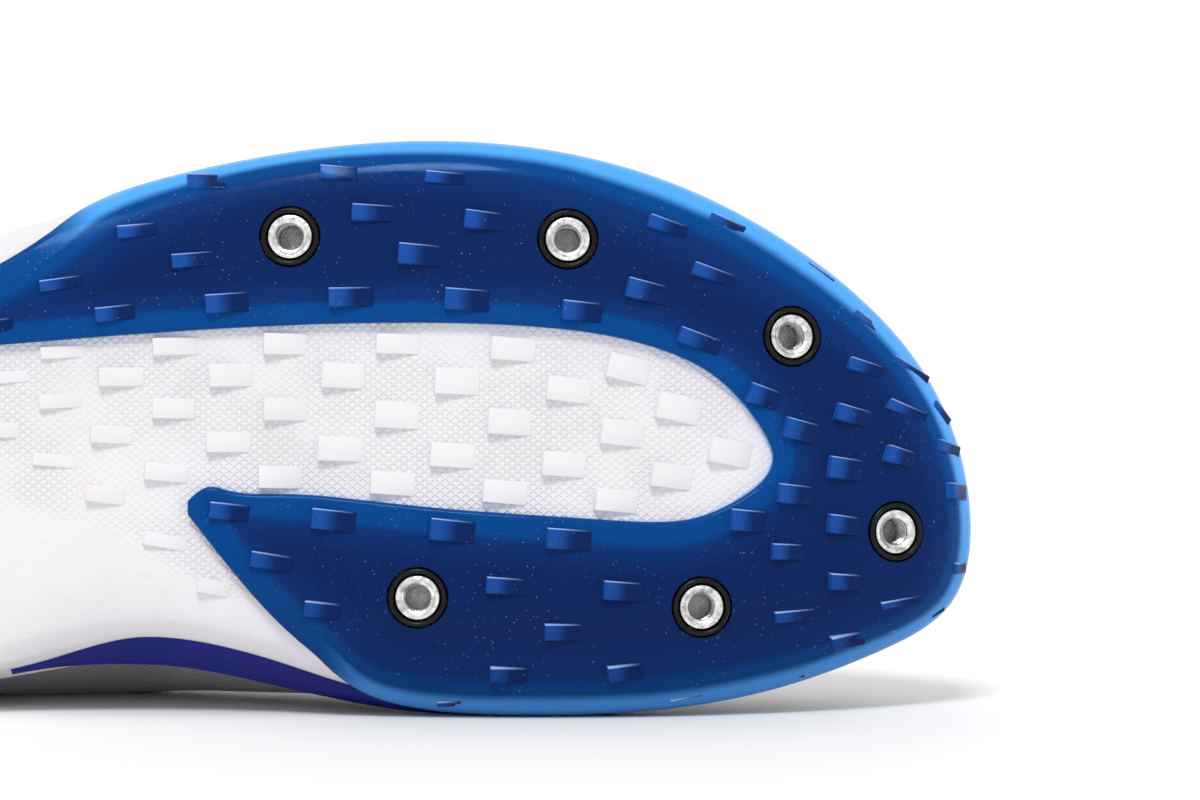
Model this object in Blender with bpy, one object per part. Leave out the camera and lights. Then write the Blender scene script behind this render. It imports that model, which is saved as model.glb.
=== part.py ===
"""Right track spike shoe, EU 42.5, lying on its medial side with its sole upright.

Every piece is modelled on the shoe's own axes, in millimetres: x runs from the back of the heel to the toe,
y towards the medial side and z up from the ground under the ball. One empty then lays the shoe on its side.
"""

import math

import bmesh
import bpy
import numpy as np
from mathutils import Matrix, Vector

MM = 0.001

# Driving sizes of the shoe
SHOE_LENGTH = 283.0
GAP = 0.3
WALL = 1.8
PLATE_THICK = 1.4
PLATE_GAP = 0.5
LIP_THICK = 1.2
SEAT_INSET = 1.9
INSOLE_THICK = 2.8
INSOLE_INSET = 4.4
SPINE_END = 26.0
SECTIONS = 26
TREAD_INSETS = (19.0, 12.5, 7.0, 3.0, 1.2, 0.0)
SIDE_HEIGHTS = (0.4, 0.75, 1.0)
BED_INSET = 11.0
INSOLE_RING = 9.0
UPPER_SHARES = (0.0, 0.07, 0.16, 0.27, 0.38, 0.5, 0.62, 0.74, 0.85, 0.94, 1.0)
LINING_SHARES = (0.0, 0.12, 0.28, 0.45, 0.62, 0.78, 0.9, 1.0)

# How the shoe lies on its side
LEAN_DEG = 4.3
FLAT_DEPTH = 0.5

# Height of the tread's centre line and of the footbed at places along the shoe
# Columns: x, under, bed
PROFILE = (
    (0, 7.0, 20.0),
    (12, 2.6, 19.5),
    (30, 0.3, 18.6),
    (60, 0.0, 17.6),
    (90, 1.0, 16.4),
    (120, 2.6, 14.6),
    (150, 2.4, 12.4),
    (180, 0.8, 10.6),
    (205, 0.0, 9.8),
    (230, 1.9, 11.2),
    (255, 7.4, 16.2),
    (275, 14.4, 22.9),
    (285, 18.6, 27.0),
)

# The sole's widest line, seen from below: how far it stands above the tread, over what width the tread
# rolls up to it, how far the side wall flares out above it, and how high the lip stands over the footbed
# Columns: x, y, up, roll, flare, lip
SOLE_EDGE = {
    "toe tip": (281.5, -3.0, 5.5, 16, 0.0, 3.0),
    "toe medial corner": (278.6, 12.3, 5.5, 16, 0.0, 3.0),
    "medial toe": (267.4, 19.8, 5.5, 16, 0.0, 3.0),
    "medial toe joint": (243.7, 27.7, 6.0, 18, 0.3, 2.5),
    "medial ball": (205.0, 31.0, 6.0, 20, 0.7, 2.5),
    "ball rear medial": (183.0, 29.3, 6.5, 18, 1.5, 3.0),
    "medial waist front": (160.0, 22.9, 6.5, 14, 3.8, 5.0),
    "medial waist": (138.0, 19.1, 7.0, 18, 4.4, 6.0),
    "medial waist rear": (114.0, 23.8, 8.0, 24, 2.8, 5.5),
    "medial heel front": (85.0, 29.0, 8.5, 20, 1.2, 4.5),
    "medial heel": (48.0, 33.3, 8.0, 14, -1.5, 4.0),
    "heel medial corner": (14.0, 25.5, 8.5, 14, -0.8, 4.0),
    "heel back": (0.0, 0.0, 9.0, 14, 0.2, 4.0),
    "heel lateral corner": (13.0, -25.0, 8.5, 14, 0.2, 4.0),
    "lateral heel": (46.0, -34.5, 8.0, 14, 0.2, 4.0),
    "lateral heel front": (82.0, -40.5, 8.0, 14, 0.2, 4.0),
    "lateral waist": (108.0, -49.5, 8.0, 12, 0.2, 4.0),
    "lateral waist front": (135.0, -57.6, 7.0, 16, 0.2, 3.0),
    "lateral ball": (186.0, -65.5, 6.0, 20, 0.2, 2.5),
    "lateral toe joint": (223.6, -60.5, 6.0, 20, 0.0, 2.5),
    "lateral toe": (253.2, -46.0, 5.5, 16, 0.0, 3.0),
    "toe lateral corner": (273.9, -25.6, 5.5, 16, 0.0, 3.0),
}

# The upper's opening edge at the same places, how its wall leaves the sole (bulge outwards, rise) and
# how it reaches the edge (out from it, down from it), and its thickness there
# Columns: x, y, z, bulge, rise, out, down, wall
UPPER = {
    "toe tip": (198.0, -14.0, 54.5, 2.0, 17, 46, 5, 1.8),
    "toe medial corner": (197.5, -10.5, 54.7, 2.0, 17, 42, 6, 1.8),
    "medial toe": (195.0, -7.5, 55.5, 2.0, 18, 34, 8, 1.8),
    "medial toe joint": (189.0, -4.5, 57.5, 2.0, 20, 26, 7, 1.8),
    "medial ball": (176.0, -1.0, 62.0, 1.0, 24, 22, 5, 1.8),
    "ball rear medial": (163.0, 2.0, 67.0, 2.0, 22, 25, 8, 1.8),
    "medial waist front": (149.0, 5.0, 72.5, 5.0, 19, 33, 14, 1.8),
    "medial waist": (133.0, 8.0, 78.0, 6.0, 17, 38, 22, 2.2),
    "medial waist rear": (117.0, 12.0, 83.0, 5.0, 20, 31, 26, 3.4),
    "medial heel front": (92.0, 24.5, 71.0, 1.5, 20, 6.5, 20, 3.6),
    "medial heel": (56.0, 25.0, 61.0, -0.5, 16, 1, 14, 3.6),
    "heel medial corner": (16.0, 17.5, 67.5, 0.0, 20, 1, 16, 3.6),
    "heel back": (5.0, 0.0, 72.0, 1.5, 20, 0.5, 18, 3.6),
    "heel lateral corner": (16.0, -18.5, 67.0, 1.5, 20, 1, 16, 3.6),
    "lateral heel": (56.0, -29.0, 57.5, 1.5, 18, 1, 12, 3.6),
    "lateral heel front": (95.0, -32.0, 71.0, 2.0, 22, 5, 16, 3.6),
    "lateral waist": (116.0, -27.0, 82.5, 2.0, 24, 16, 14, 3.4),
    "lateral waist front": (133.0, -23.5, 78.0, 2.0, 22, 22, 14, 2.2),
    "lateral ball": (163.0, -23.5, 67.0, 2.0, 17, 22, 15, 1.8),
    "lateral toe joint": (181.0, -22.5, 60.0, 2.0, 16, 26, 11, 1.8),
    "lateral toe": (192.0, -20.0, 56.5, 2.0, 17, 38, 10, 1.8),
    "toe lateral corner": (197.0, -17.3, 54.8, 2.0, 17, 42, 7, 1.8),
}

# The spike plate's two edges, from its lateral tail round the toe to its medial tail, and how far its
# outer edge wraps up the side wall (0 where the plate lies inboard of the sole's edge)
# Columns: outer_x, outer_y, inner_x, inner_y, wrap
PLATE = (
    (93.5, -32.4, 93.5, -30.2, 0.0),
    (101.0, -37.8, 101.0, -30.6, 0.0),
    (113.7, -45.5, 113.7, -31.6, 0.0),
    (131.0, -54.6, 131.0, -33.0, 0.45),
    (150.0, -61.9, 150.0, -34.3, 1.0),
    (186.0, -65.5, 183.0, -35.4, 1.0),
    (218.0, -62.0, 210.0, -34.4, 1.0),
    (240.0, -54.0, 225.0, -31.8, 1.0),
    (256.0, -44.0, 236.0, -27.3, 1.0),
    (270.0, -31.0, 243.0, -21.0, 1.0),
    (279.0, -15.0, 247.0, -15.0, 1.0),
    (281.5, -2.0, 247.8, -11.5, 1.0),
    (279.0, 12.0, 245.5, -7.5, 1.0),
    (267.4, 19.8, 239.0, -3.3, 1.0),
    (243.7, 27.7, 229.0, -0.9, 1.0),
    (215.0, 31.2, 212.0, -1.7, 1.0),
    (195.0, 31.0, 193.0, -3.0, 1.0),
    (181.0, 28.4, 178.0, -4.2, 0.6),
    (166.0, 19.8, 164.0, -5.3, 0.0),
    (154.0, 7.5, 153.0, -6.1, 0.0),
    (148.0, -0.6, 148.0, -6.2, 0.0),
    (146.3, -2.6, 146.3, -5.2, 0.0),
)
TAIL_STATIONS = 7
PLATE_INSETS = (1.0, 3.0, 7.0, 12.5, 20.0)
PLATE_REACH = 30.0
PLATE_WRAP = 0.15

# Spike seats: their places on the sole
SPIKE_SEATS = {
    "spike_insert_1": (164.1, -50.3),
    "spike_insert_2": (212.2, -49.8),
    "spike_insert_3": (250.9, -33.1),
    "spike_insert_4": (269.1, 0.9),
    "spike_insert_5": (235.3, 13.9),
    "spike_insert_6": (186.3, 12.3),
}
SEAT_STEPS = 14
SEAT_HOLE_RADIUS = 5.4
SEAT_DEPTH = 6.2
INSERT_PROFILE = (
    (0.0, 5.0),
    (2.4, 5.0),
    (2.4, 0.9),
    (3.05, 0.25),
    (3.85, 0.25),
    (3.85, 5.8),
    (0.0, 5.8),
)
RING_PROFILE = (
    (4.15, 4.8),
    (4.15, 0.5),
    (4.4, -0.15),
    (4.85, -0.15),
    (5.1, 0.2),
    (5.1, 4.8),
)

# Wedge lugs on the plate, laid in brick courses: the middle of each, its size along and across, and
# its turn in degrees
# Columns: x, y, length, width, turn
PLATE_LUGS = (
    (112.2, -34.9, 7.3, 2.3, -7),
    (124.1, -42.2, 7.9, 2.1, -8),
    (133.5, -37.1, 7.2, 2.8, -6),
    (137.4, -51.0, 7.3, 2.3, -7),
    (147.2, -46.3, 7.8, 2.6, -5),
    (149.5, -58.9, 7.0, 2.8, -4),
    (153.1, -38.9, 7.8, 3.6, -4),
    (153.5, -2.6, 7.2, 3.1, 6),
    (160.9, 6.1, 7.7, 3.0, 9),
    (169.8, 14.3, 6.7, 2.8, 7),
    (171.7, -1.1, 8.0, 3.8, 6),
    (172.5, -60.8, 6.8, 2.8, 1),
    (174.7, -39.9, 8.0, 3.6, -1),
    (178.7, -54.2, 8.0, 3.0, 2),
    (186.6, -47.2, 7.7, 3.8, 5),
    (191.0, -60.1, 7.3, 2.8, 4),
    (192.3, 0.7, 8.0, 4.0, 6),
    (194.8, -39.4, 8.0, 4.0, 4),
    (197.7, -52.9, 7.0, 3.3, 6),
    (201.5, 10.3, 7.1, 3.1, 4),
    (202.0, 25.2, 6.8, 2.8, 3),
    (211.5, 18.1, 7.1, 3.0, 1),
    (212.3, 2.2, 8.0, 3.8, 4),
    (214.6, -37.4, 7.2, 3.6, 6),
    (221.6, 11.2, 7.1, 3.5, 4),
    (222.0, 24.8, 6.4, 2.8, -5),
    (225.6, -40.9, 7.2, 3.6, 14),
    (229.2, -51.8, 7.3, 2.4, 18),
    (234.8, -32.3, 8.0, 3.0, 20),
    (237.2, -43.6, 8.0, 2.4, 19),
    (243.2, -1.0, 6.6, 4.0, 5),
    (245.8, -22.7, 5.9, 3.6, 19),
    (250.0, 4.4, 5.9, 3.0, 2),
    (251.3, -5.6, 6.6, 3.6, 6),
    (251.4, 15.3, 7.7, 2.1, -5),
    (252.4, -16.7, 6.6, 3.8, 14),
    (259.7, -0.3, 5.9, 3.5, 7),
    (260.0, 9.6, 6.1, 3.0, 3),
    (260.1, -10.1, 6.5, 4.0, 8),
    (260.4, 19.2, 6.2, 2.1, -11),
    (261.4, -19.4, 6.7, 3.1, 15),
    (263.5, -27.6, 6.7, 2.3, 17),
    (264.6, -34.6, 8.0, 1.7, 33),
    (269.4, -12.2, 5.6, 3.1, 16),
    (269.8, 12.9, 7.4, 1.4, -11),
    (270.7, -20.1, 7.5, 1.9, 23),
    (271.3, -27.1, 7.7, 1.9, 28),
)

# Wedge lugs on the white foam of the forefoot
# Columns: x, y, length, width, turn
WHITE_LUGS = (
    (113.5, -16.9, 6.6, 3.0, 3),
    (114.4, -26.0, 7.7, 2.3, -4),
    (122.9, -11.5, 8.0, 2.4, 6),
    (123.8, -21.9, 7.6, 2.8, -3),
    (124.1, -30.4, 7.8, 2.4, -3),
    (131.7, -5.5, 7.0, 3.1, 7),
    (132.8, -16.0, 7.6, 3.3, 3),
    (134.4, -26.1, 8.0, 3.6, 0),
    (142.1, 2.5, 7.8, 2.6, 10),
    (142.4, -9.4, 7.9, 3.3, 6),
    (143.6, -20.6, 7.6, 3.8, 1),
    (143.8, -31.4, 8.0, 3.3, -1),
    (150.6, 10.5, 6.0, 2.8, 12),
    (153.1, -14.7, 7.8, 3.8, 0),
    (153.6, -26.4, 7.8, 4.3, -1),
    (162.2, -8.6, 7.8, 4.2, 1),
    (163.0, -31.8, 7.6, 4.0, 1),
    (163.0, -20.4, 7.6, 4.2, 1),
    (172.6, -13.5, 8.0, 4.5, 2),
    (173.1, -26.3, 7.6, 4.7, 3),
    (181.8, -7.5, 8.0, 4.3, 4),
    (182.5, -19.4, 7.8, 4.9, 3),
    (182.7, -31.8, 7.8, 3.8, 1),
    (192.2, -12.4, 8.0, 4.5, 4),
    (193.0, -25.3, 8.0, 4.9, 2),
    (201.3, -6.0, 8.0, 4.3, 5),
    (202.1, -18.2, 7.8, 4.7, 4),
    (202.7, -30.9, 8.0, 4.3, 4),
    (211.5, -10.8, 7.8, 4.5, 4),
    (212.4, -23.8, 8.0, 4.5, 7),
    (220.6, -4.5, 7.7, 4.2, 5),
    (221.6, -16.3, 7.7, 4.7, 6),
    (222.7, -27.5, 7.7, 4.7, 13),
    (230.2, -8.8, 7.5, 4.5, 7),
    (231.5, -20.6, 8.0, 4.9, 12),
    (240.4, -12.9, 7.6, 4.7, 11),
)

# The courses go on over the waist and the heel
HEEL_FIRST = 104.0
HEEL_MIDDLE = (-21.7, -3.2)
HEEL_COLUMNS = 9
HEEL_COLUMN_STEP = 10.6
HEEL_ROW_STEP = 9.6
HEEL_ROWS = 3
HEEL_LUG = (7.6, 3.6)
HEEL_LUG_MARGIN = 1.5
HEEL_LUG_FROM_RIM = 8.5
PLATE_LUG_HEIGHT = 1.5
WHITE_LUG_HEIGHT = 1.6
FULL_HEIGHT_WIDTH = 3.2
LUG_SINK = 0.6
LUG_TIP = 0.15
LUG_DRAFT = 0.3
SMOOTH_ARCH = ((60.0, 12.0), (113.7, -5.0), (131.0, -0.5), (148.4, 9.0), (158.8, 13.5))

# Ribbed side band between the widest line and the lip
BAND_FROM = "medial waist rear"
BAND_TO = "lateral waist front"
BAND_BACK = 0.35
BAND_THICK = 1.2
BAND_RIBS = 5
BAND_LOW = 0.24
BAND_TOP = 0.92
BAND_ARCH_DROP = 0.2
BAND_FADE = 0.07
RIB_DEPTH = 0.45

# Throat, eyelets, tongue and laces
EYESTAY_WIDTH = 11.0
EYELET_INSET = 5.5
EYELET_RADIUS = 1.7
EYELET_PLACES = (186.0, 176.0, 166.0, 156.0, 146.0, 136.0)
LACE_WIDTH = 5.0
LACE_THICK = 1.1
LACE_LIFT = 2.4
THROAT_FACE = (-0.35, 0.0, 0.94)
TONGUE_THICK = 2.6
TONGUE_UNDER = 9.0
TONGUE_PAIRS = (180.0, 168.0, 156.0, 144.0, 134.0, 124.0)
# Rows of the tongue's free end, as x, z and half its width
TONGUE_TOP = ((112.0, 88.5, 12.5), (100.0, 95.5, 15.0), (96.5, 96.5, 14.0))
TONGUE_MIDDLE = -7.5
OVERLAY_LOW = 0.3
OVERLAY_HIGH = 1.1
COUNTER_LOW = 0.13
COUNTER_TOP = 0.62
COUNTER_FALL = 0.34

MATERIALS = {
    "grey_textile": ((0.33, 0.33, 0.35, 1.0), 0.85, 0.0),
    "white_foam": ((0.88, 0.89, 0.91, 1.0), 0.45, 0.0),
    "violet_foam": ((0.055, 0.05, 0.36, 1.0), 0.4, 0.0),
    "blue_plate": ((0.03, 0.1, 0.45, 1.0), 0.2, 0.0),
    "black_collar": ((0.01, 0.01, 0.012, 1.0), 0.35, 0.0),
    "steel_insert": ((0.75, 0.75, 0.77, 1.0), 0.2, 1.0),
    "violet_overlay": ((0.06, 0.055, 0.4, 1.0), 0.5, 0.0),
    "white_lace": ((0.85, 0.85, 0.87, 1.0), 0.8, 0.0),
    "dark_lining": ((0.12, 0.12, 0.14, 1.0), 0.9, 0.0),
}


def spline_through(knots, rows, closed=False):
    """A smooth curve through rows of values, as a function of the place along it."""
    knots = np.asarray(knots, float)
    rows = np.asarray(rows, float)
    gaps = np.diff(knots)
    slopes = np.diff(rows, axis=0) / gaps[:, None]
    count = len(gaps) if closed else len(knots)
    system = np.eye(count)
    right = np.zeros((count, rows.shape[1]))
    for i in range(0 if closed else 1, count if closed else count - 1):
        before, after = gaps[i - 1], gaps[i]
        system[i, i] = 2 * (before + after)
        system[i, i - 1] = before
        system[i, (i + 1) % count] = after
        right[i] = 6 * (slopes[i] - slopes[i - 1])
    bends = np.linalg.solve(system, right)
    if closed:
        bends = np.vstack([bends, bends[:1]])

    def read(place):
        place = np.asarray(place, float)
        if closed:
            place = np.mod(place, knots[-1])
        i = np.clip(np.searchsorted(knots, place, "right") - 1, 0, len(gaps) - 1)
        gap = gaps[i][..., None]
        past = (place - knots[i])[..., None]
        left = gap - past
        bent = (bends[i] * left**3 + bends[i + 1] * past**3) / (6 * gap)
        straight = (rows[i] / gap - bends[i] * gap / 6) * left
        return bent + straight + (rows[i + 1] / gap - bends[i + 1] * gap / 6) * past

    return read


def chord_knots(points):
    """Places of the points along the line through them, from 0 to 1."""
    steps = np.linalg.norm(np.diff(points, axis=0), axis=1)
    return np.concatenate([[0.0], np.cumsum(steps)]) / steps.sum()


def closed_table(table):
    rows = np.array(list(table.values()), float)
    return np.vstack([rows, rows[:1]])


EDGE_KNOTS = chord_knots(closed_table(SOLE_EDGE)[:, :2])
PLACE_OF = dict(zip(SOLE_EDGE, EDGE_KNOTS))
edge = spline_through(EDGE_KNOTS, closed_table(SOLE_EDGE), closed=True)
opening = spline_through(EDGE_KNOTS, closed_table(UPPER), closed=True)
profile = spline_through([row[0] for row in PROFILE], np.array(PROFILE, float)[:, 1:])
DENSE_PLACES = np.arange(720) / 720
DENSE_EDGE = edge(DENSE_PLACES)


def smooth_step(value):
    value = np.clip(value, 0.0, 1.0)
    return value * value * (3 - 2 * value)


def plan_normal(place):
    """The direction that points straight out of the sole's edge, seen from above."""
    step = 2e-4
    along = edge(place + step)[..., :2] - edge(place - step)[..., :2]
    along /= np.linalg.norm(along, axis=-1, keepdims=True)
    return np.stack([along[..., 1], -along[..., 0]], axis=-1)


def tread_height(points):
    """Height of the sole's underside at plan points, rolled up towards its edge."""
    points = np.asarray(points, float)
    starts = DENSE_EDGE[:, :2]
    along = np.roll(starts, -1, axis=0) - starts
    away = points[:, None] - starts[None]
    share = np.clip((away * along).sum(-1) / (along * along).sum(-1), 0, 1)
    gap = away - share[..., None] * along
    distance = np.hypot(gap[..., 0], gap[..., 1])
    nearest = distance.argmin(axis=1)
    row = np.arange(len(points))
    inside = along[nearest, 0] * away[row, nearest, 1] > along[nearest, 1] * away[row, nearest, 0]
    inboard = np.where(inside, distance[row, nearest], 0.0)
    up, roll = DENSE_EDGE[nearest, 2], DENSE_EDGE[nearest, 3]
    shoulder = 0.6 * np.clip(1 - inboard / roll, 0, 1) ** 2.4
    corner = 0.4 * np.clip(1 - inboard / 3.5, 0, 1) ** 2
    return profile(points[:, 0])[:, 0] + up * (shoulder + corner)


def tread_point(points, out=0.0):
    """Points on the underside, or out millimetres off it, and the direction that points out of it."""
    points = np.asarray(points, float)
    step = 0.2
    slopes = [
        (tread_height(points + shift) - tread_height(points - shift)) / (2 * step)
        for shift in (np.array([step, 0.0]), np.array([0.0, step]))
    ]
    outward = np.stack([slopes[0], slopes[1], -np.ones(len(points))], axis=-1)
    outward /= np.linalg.norm(outward, axis=-1, keepdims=True)
    surface = np.column_stack([points, tread_height(points)])
    return surface + outward * np.broadcast_to(out, (len(points),))[:, None], outward


def wall_point(place, height, out):
    """A point on the sole's side wall: height 0 is its widest line and 1 the top of its lip."""
    here = edge(place)
    normal = plan_normal(place)
    low = tread_height(here[..., :2])
    high = profile(here[..., 0])[..., 1] + here[..., 5]
    plan = here[..., :2] + normal * (here[..., 4] * height + out)[..., None]
    return np.column_stack([plan, low + (high - low) * height])


def bed_point(place, inset, above):
    """A point inside the lip, inset from the side wall at the footbed's height, and above the footbed."""
    here = edge(place)
    low, bed = tread_height(here[:, :2]), profile(here[:, 0])[:, 1]
    share = (bed - low) / (bed + here[:, 5] - low)
    plan = here[:, :2] + plan_normal(place) * (here[:, 4] * share - inset)[:, None]
    return np.column_stack([plan, bed + above])


def paired_places(sections):
    """Places round the edge, toe first, where each medial place has a lateral one at the same x."""
    toe, heel = DENSE_EDGE[:, 0].argmax(), DENSE_EDGE[:, 0].argmin()
    toe -= len(DENSE_EDGE) if toe > heel else 0
    reach = 0.5 * (1 + np.cos(np.pi * np.arange(sections + 1) / sections))
    longest, shortest = DENSE_EDGE[toe, 0], DENSE_EDGE[heel, 0]
    wanted = shortest + (longest - shortest) * reach
    medial = np.arange(heel, toe - 1, -1)
    lateral = np.arange(heel, toe + len(DENSE_EDGE) + 1)
    halves = []
    for half in (medial, lateral):
        xs = DENSE_EDGE[half % len(DENSE_EDGE), 0]
        halves.append(np.interp(wanted, np.maximum.accumulate(xs), half / len(DENSE_EDGE)))
    return np.concatenate([halves[0], halves[1][-2:0:-1]])


PLACES = paired_places(SECTIONS)


def spine_points():
    """The line down the middle of the sole that each section's two sides run to."""
    here = edge(PLACES)
    share = here[:, 0] / SHOE_LENGTH
    x = SPINE_END + (SHOE_LENGTH - 2 * SPINE_END) * share
    order = np.arange(len(PLACES))
    partner = (-order) % len(PLACES)
    x = 0.5 * (x + x[partner])
    first = slice(0, SECTIONS + 1)
    middle = 0.5 * (here[:, 1] + here[partner, 1])
    y = np.interp(x, here[first, 0][::-1], middle[first][::-1])
    return np.column_stack([x, y])


SPINE = spine_points()


def towards_spine(start, inset):
    """Plan points inset from the start towards the spine."""
    way = SPINE - start
    return start + way * (inset / np.linalg.norm(way, axis=1))[:, None]


def upper_point(place, share):
    """A point on the upper's outer face: share 0 is at the sole and 1 at the opening."""
    place = np.asarray(place, float)
    share = np.asarray(share, float)
    place, share = np.broadcast_arrays(place, share)
    shape = place.shape
    place, share = place.ravel(), share.ravel()
    edge_row = opening(place)
    normal = np.column_stack([plan_normal(place), np.zeros(len(place))])
    upright = np.array([0.0, 0.0, 1.0])
    start = bed_point(place, SEAT_INSET, GAP)
    end = edge_row[:, :3]
    first = start + normal * edge_row[:, 3:4] + upright * edge_row[:, 4:5]
    second = end + normal * edge_row[:, 5:6] - upright * edge_row[:, 6:7]
    t = share[:, None]
    left = 1 - t
    curve = left**3 * start + 3 * left**2 * t * first + 3 * left * t**2 * second + t**3 * end
    return curve.reshape(shape + (3,))


def upper_skin(place, share, lift):
    """A point lift millimetres off the upper's outer face."""
    place, share = np.broadcast_arrays(np.asarray(place, float), np.asarray(share, float))
    step = 1e-3
    round_ = upper_point(place + step, share) - upper_point(place - step, share)
    low, high = np.clip(share - step, 0, 1), np.clip(share + step, 0, 1)
    up = upper_point(place, high) - upper_point(place, low)
    normal = np.cross(round_, up)
    normal /= np.linalg.norm(normal, axis=-1, keepdims=True)
    return upper_point(place, share) + normal * np.asarray(lift, float)[..., None]


def wall_thickness(place, share):
    edge_wall = opening(place)[..., 7]
    return WALL + (np.maximum(edge_wall, WALL) - WALL) * smooth_step((share - 0.45) / 0.45)


def share_from_edge(place, distance):
    """How far up the upper a point lies that is this distance from the opening."""
    row = opening(place)
    return 1 - distance / (3 * np.hypot(row[..., 5], row[..., 6]))


def throat_place(x, side):
    """The place round the edge whose opening point is at x, on the medial or lateral side."""
    if side == "medial":
        places = np.linspace(0, PLACE_OF["medial waist rear"], 300)
    else:
        places = np.linspace(1, PLACE_OF["lateral waist"], 300)
    return np.interp(-x, -opening(places)[:, 0], places)


def material(name):
    """The named material, made once."""
    found = bpy.data.materials.get(name)
    if found:
        return found
    colour, roughness, metallic = MATERIALS[name]
    made = bpy.data.materials.new(name)
    made.use_nodes = True
    shader = made.node_tree.nodes["Principled BSDF"]
    shader.inputs["Base Color"].default_value = colour
    shader.inputs["Roughness"].default_value = roughness
    shader.inputs["Metallic"].default_value = metallic
    made.diffuse_color = colour
    return made


def object_from(name, bm, finish):
    """A named object on the shoe's frame from a finished bmesh in millimetres."""
    bmesh.ops.remove_doubles(bm, verts=bm.verts, dist=1e-4)
    bmesh.ops.recalc_face_normals(bm, faces=bm.faces)
    bmesh.ops.scale(bm, vec=(MM, MM, MM), verts=bm.verts)
    mesh = bpy.data.meshes.new(name)
    bm.to_mesh(mesh)
    bm.free()
    mesh.materials.append(material(finish))
    made = bpy.data.objects.new(name, mesh)
    bpy.context.scene.collection.objects.link(made)
    made.parent = bpy.data.objects["shoe_frame"]
    return made


def grid_verts(bm, rows):
    return [[bm.verts.new(point) for point in row] for row in rows]


def skin(bm, verts, closed):
    """Quads between the rows of vertices, round each row where it is closed."""
    for low, high in zip(verts, verts[1:]):
        for i in range(len(low) if closed else len(low) - 1):
            j = (i + 1) % len(low)
            bm.faces.new((low[i], low[j], high[j], high[i]))


def ringed_solid(name, rings, finish):
    """A solid skinned over closed rings, whose first and last ring are folded flat on the spine."""
    bm = bmesh.new()
    skin(bm, grid_verts(bm, rings), closed=True)
    return object_from(name, bm, finish)


def thick_sheet(name, outer, inner, finish, closed=False):
    """A solid between an outer and an inner grid of points, with its borders closed."""
    bm = bmesh.new()
    front, back = grid_verts(bm, outer), grid_verts(bm, inner)
    skin(bm, front, closed)
    skin(bm, back, closed)
    skin(bm, [front[0], back[0]], closed)
    skin(bm, [front[-1], back[-1]], closed)
    if not closed:
        skin(bm, [[row[0] for row in front], [row[0] for row in back]], False)
        skin(bm, [[row[-1] for row in front], [row[-1] for row in back]], False)
    return object_from(name, bm, finish)


def collection_of(name, pieces):
    """The pieces of a Boolean in a collection of their own, out of the render."""
    group = bpy.data.collections.new(name)
    bpy.context.scene.collection.children.link(group)
    for piece in pieces:
        bpy.context.scene.collection.objects.unlink(piece)
        group.objects.link(piece)
        piece.hide_render = True
        piece.display_type = "WIRE"
    return group


def boolean(target, operation, group):
    step = target.modifiers.new(group.name, "BOOLEAN")
    step.operation = operation
    step.operand_type = "COLLECTION"
    step.collection = group
    step.solver = "EXACT"


def midsole():
    """White foam sole: rolled underside, flared side wall, thin lip and dished footbed."""
    base = edge(PLACES)[:, :2]
    rings = [np.column_stack([SPINE, tread_height(SPINE)])]
    for inset in TREAD_INSETS:
        plan = towards_spine(base, np.full(len(base), inset))
        rings.append(np.column_stack([plan, tread_height(plan)]))
    for height in SIDE_HEIGHTS:
        rings.append(wall_point(PLACES, height, np.zeros(len(PLACES))))
    rings.append(wall_point(PLACES, 1.0, np.full(len(PLACES), -LIP_THICK)))
    seat = bed_point(PLACES, LIP_THICK + 0.5 * GAP, 0.0)
    rings.append(seat)
    plan = towards_spine(seat[:, :2], np.full(len(seat), BED_INSET))
    rings.append(np.column_stack([plan, profile(plan[:, 0])[:, 1]]))
    rings.append(np.column_stack([SPINE, profile(SPINE[:, 0])[:, 1]]))
    return ringed_solid("midsole", rings, "white_foam")


def insole():
    """Flat footbed inside the upper, just clear of its wall."""
    low = bed_point(PLACES, INSOLE_INSET, 2 * GAP)
    high = low + np.array([0.0, 0.0, INSOLE_THICK])
    inner = towards_spine(high[:, :2], np.full(len(high), INSOLE_RING))
    top = 2 * GAP + INSOLE_THICK
    rings = [
        np.column_stack([SPINE, profile(SPINE[:, 0])[:, 1] + 2 * GAP]),
        np.column_stack([inner, profile(inner[:, 0])[:, 1] + 2 * GAP]),
        low,
        high,
        np.column_stack([inner, profile(inner[:, 0])[:, 1] + top]),
        np.column_stack([SPINE, profile(SPINE[:, 0])[:, 1] + top]),
    ]
    return ringed_solid("insole", rings, "dark_lining")


def upper():
    """Hollow textile upper, open at the collar and throat and underneath."""
    outer = [upper_point(PLACES, share) for share in UPPER_SHARES]
    inner = [upper_skin(PLACES, share, -wall_thickness(PLACES, share)) for share in LINING_SHARES]
    return thick_sheet("upper", outer, inner, "grey_textile", closed=True)


def overlay(name, places, low_share, high_share, finish, rows=3):
    """A patch of the upper's own form laid just over it."""
    steps = np.linspace(0, 1, rows)
    shares = [low_share + (high_share - low_share) * step for step in steps]
    outer = [upper_skin(places, share, np.full(len(places), OVERLAY_HIGH)) for share in shares]
    inner = [upper_skin(places, share, np.full(len(places), OVERLAY_LOW)) for share in shares]
    return thick_sheet(name, outer, inner, finish)


def eyestay():
    """Reinforcing strip round the throat, with the punched eyelets."""
    front = PLACES[(PLACES > 0) & (PLACES < PLACE_OF["medial waist rear"] - 0.01)]
    back = PLACES[PLACES > PLACE_OF["lateral waist"] + 0.01] - 1
    places = np.sort(np.concatenate([back, front, PLACES[PLACES <= 0]]))
    places = np.unique(np.round(places, 6))
    low = share_from_edge(places, EYESTAY_WIDTH)
    high = share_from_edge(places, 0.5)
    return overlay("eyestay", places, low, high, "violet_overlay")


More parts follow.
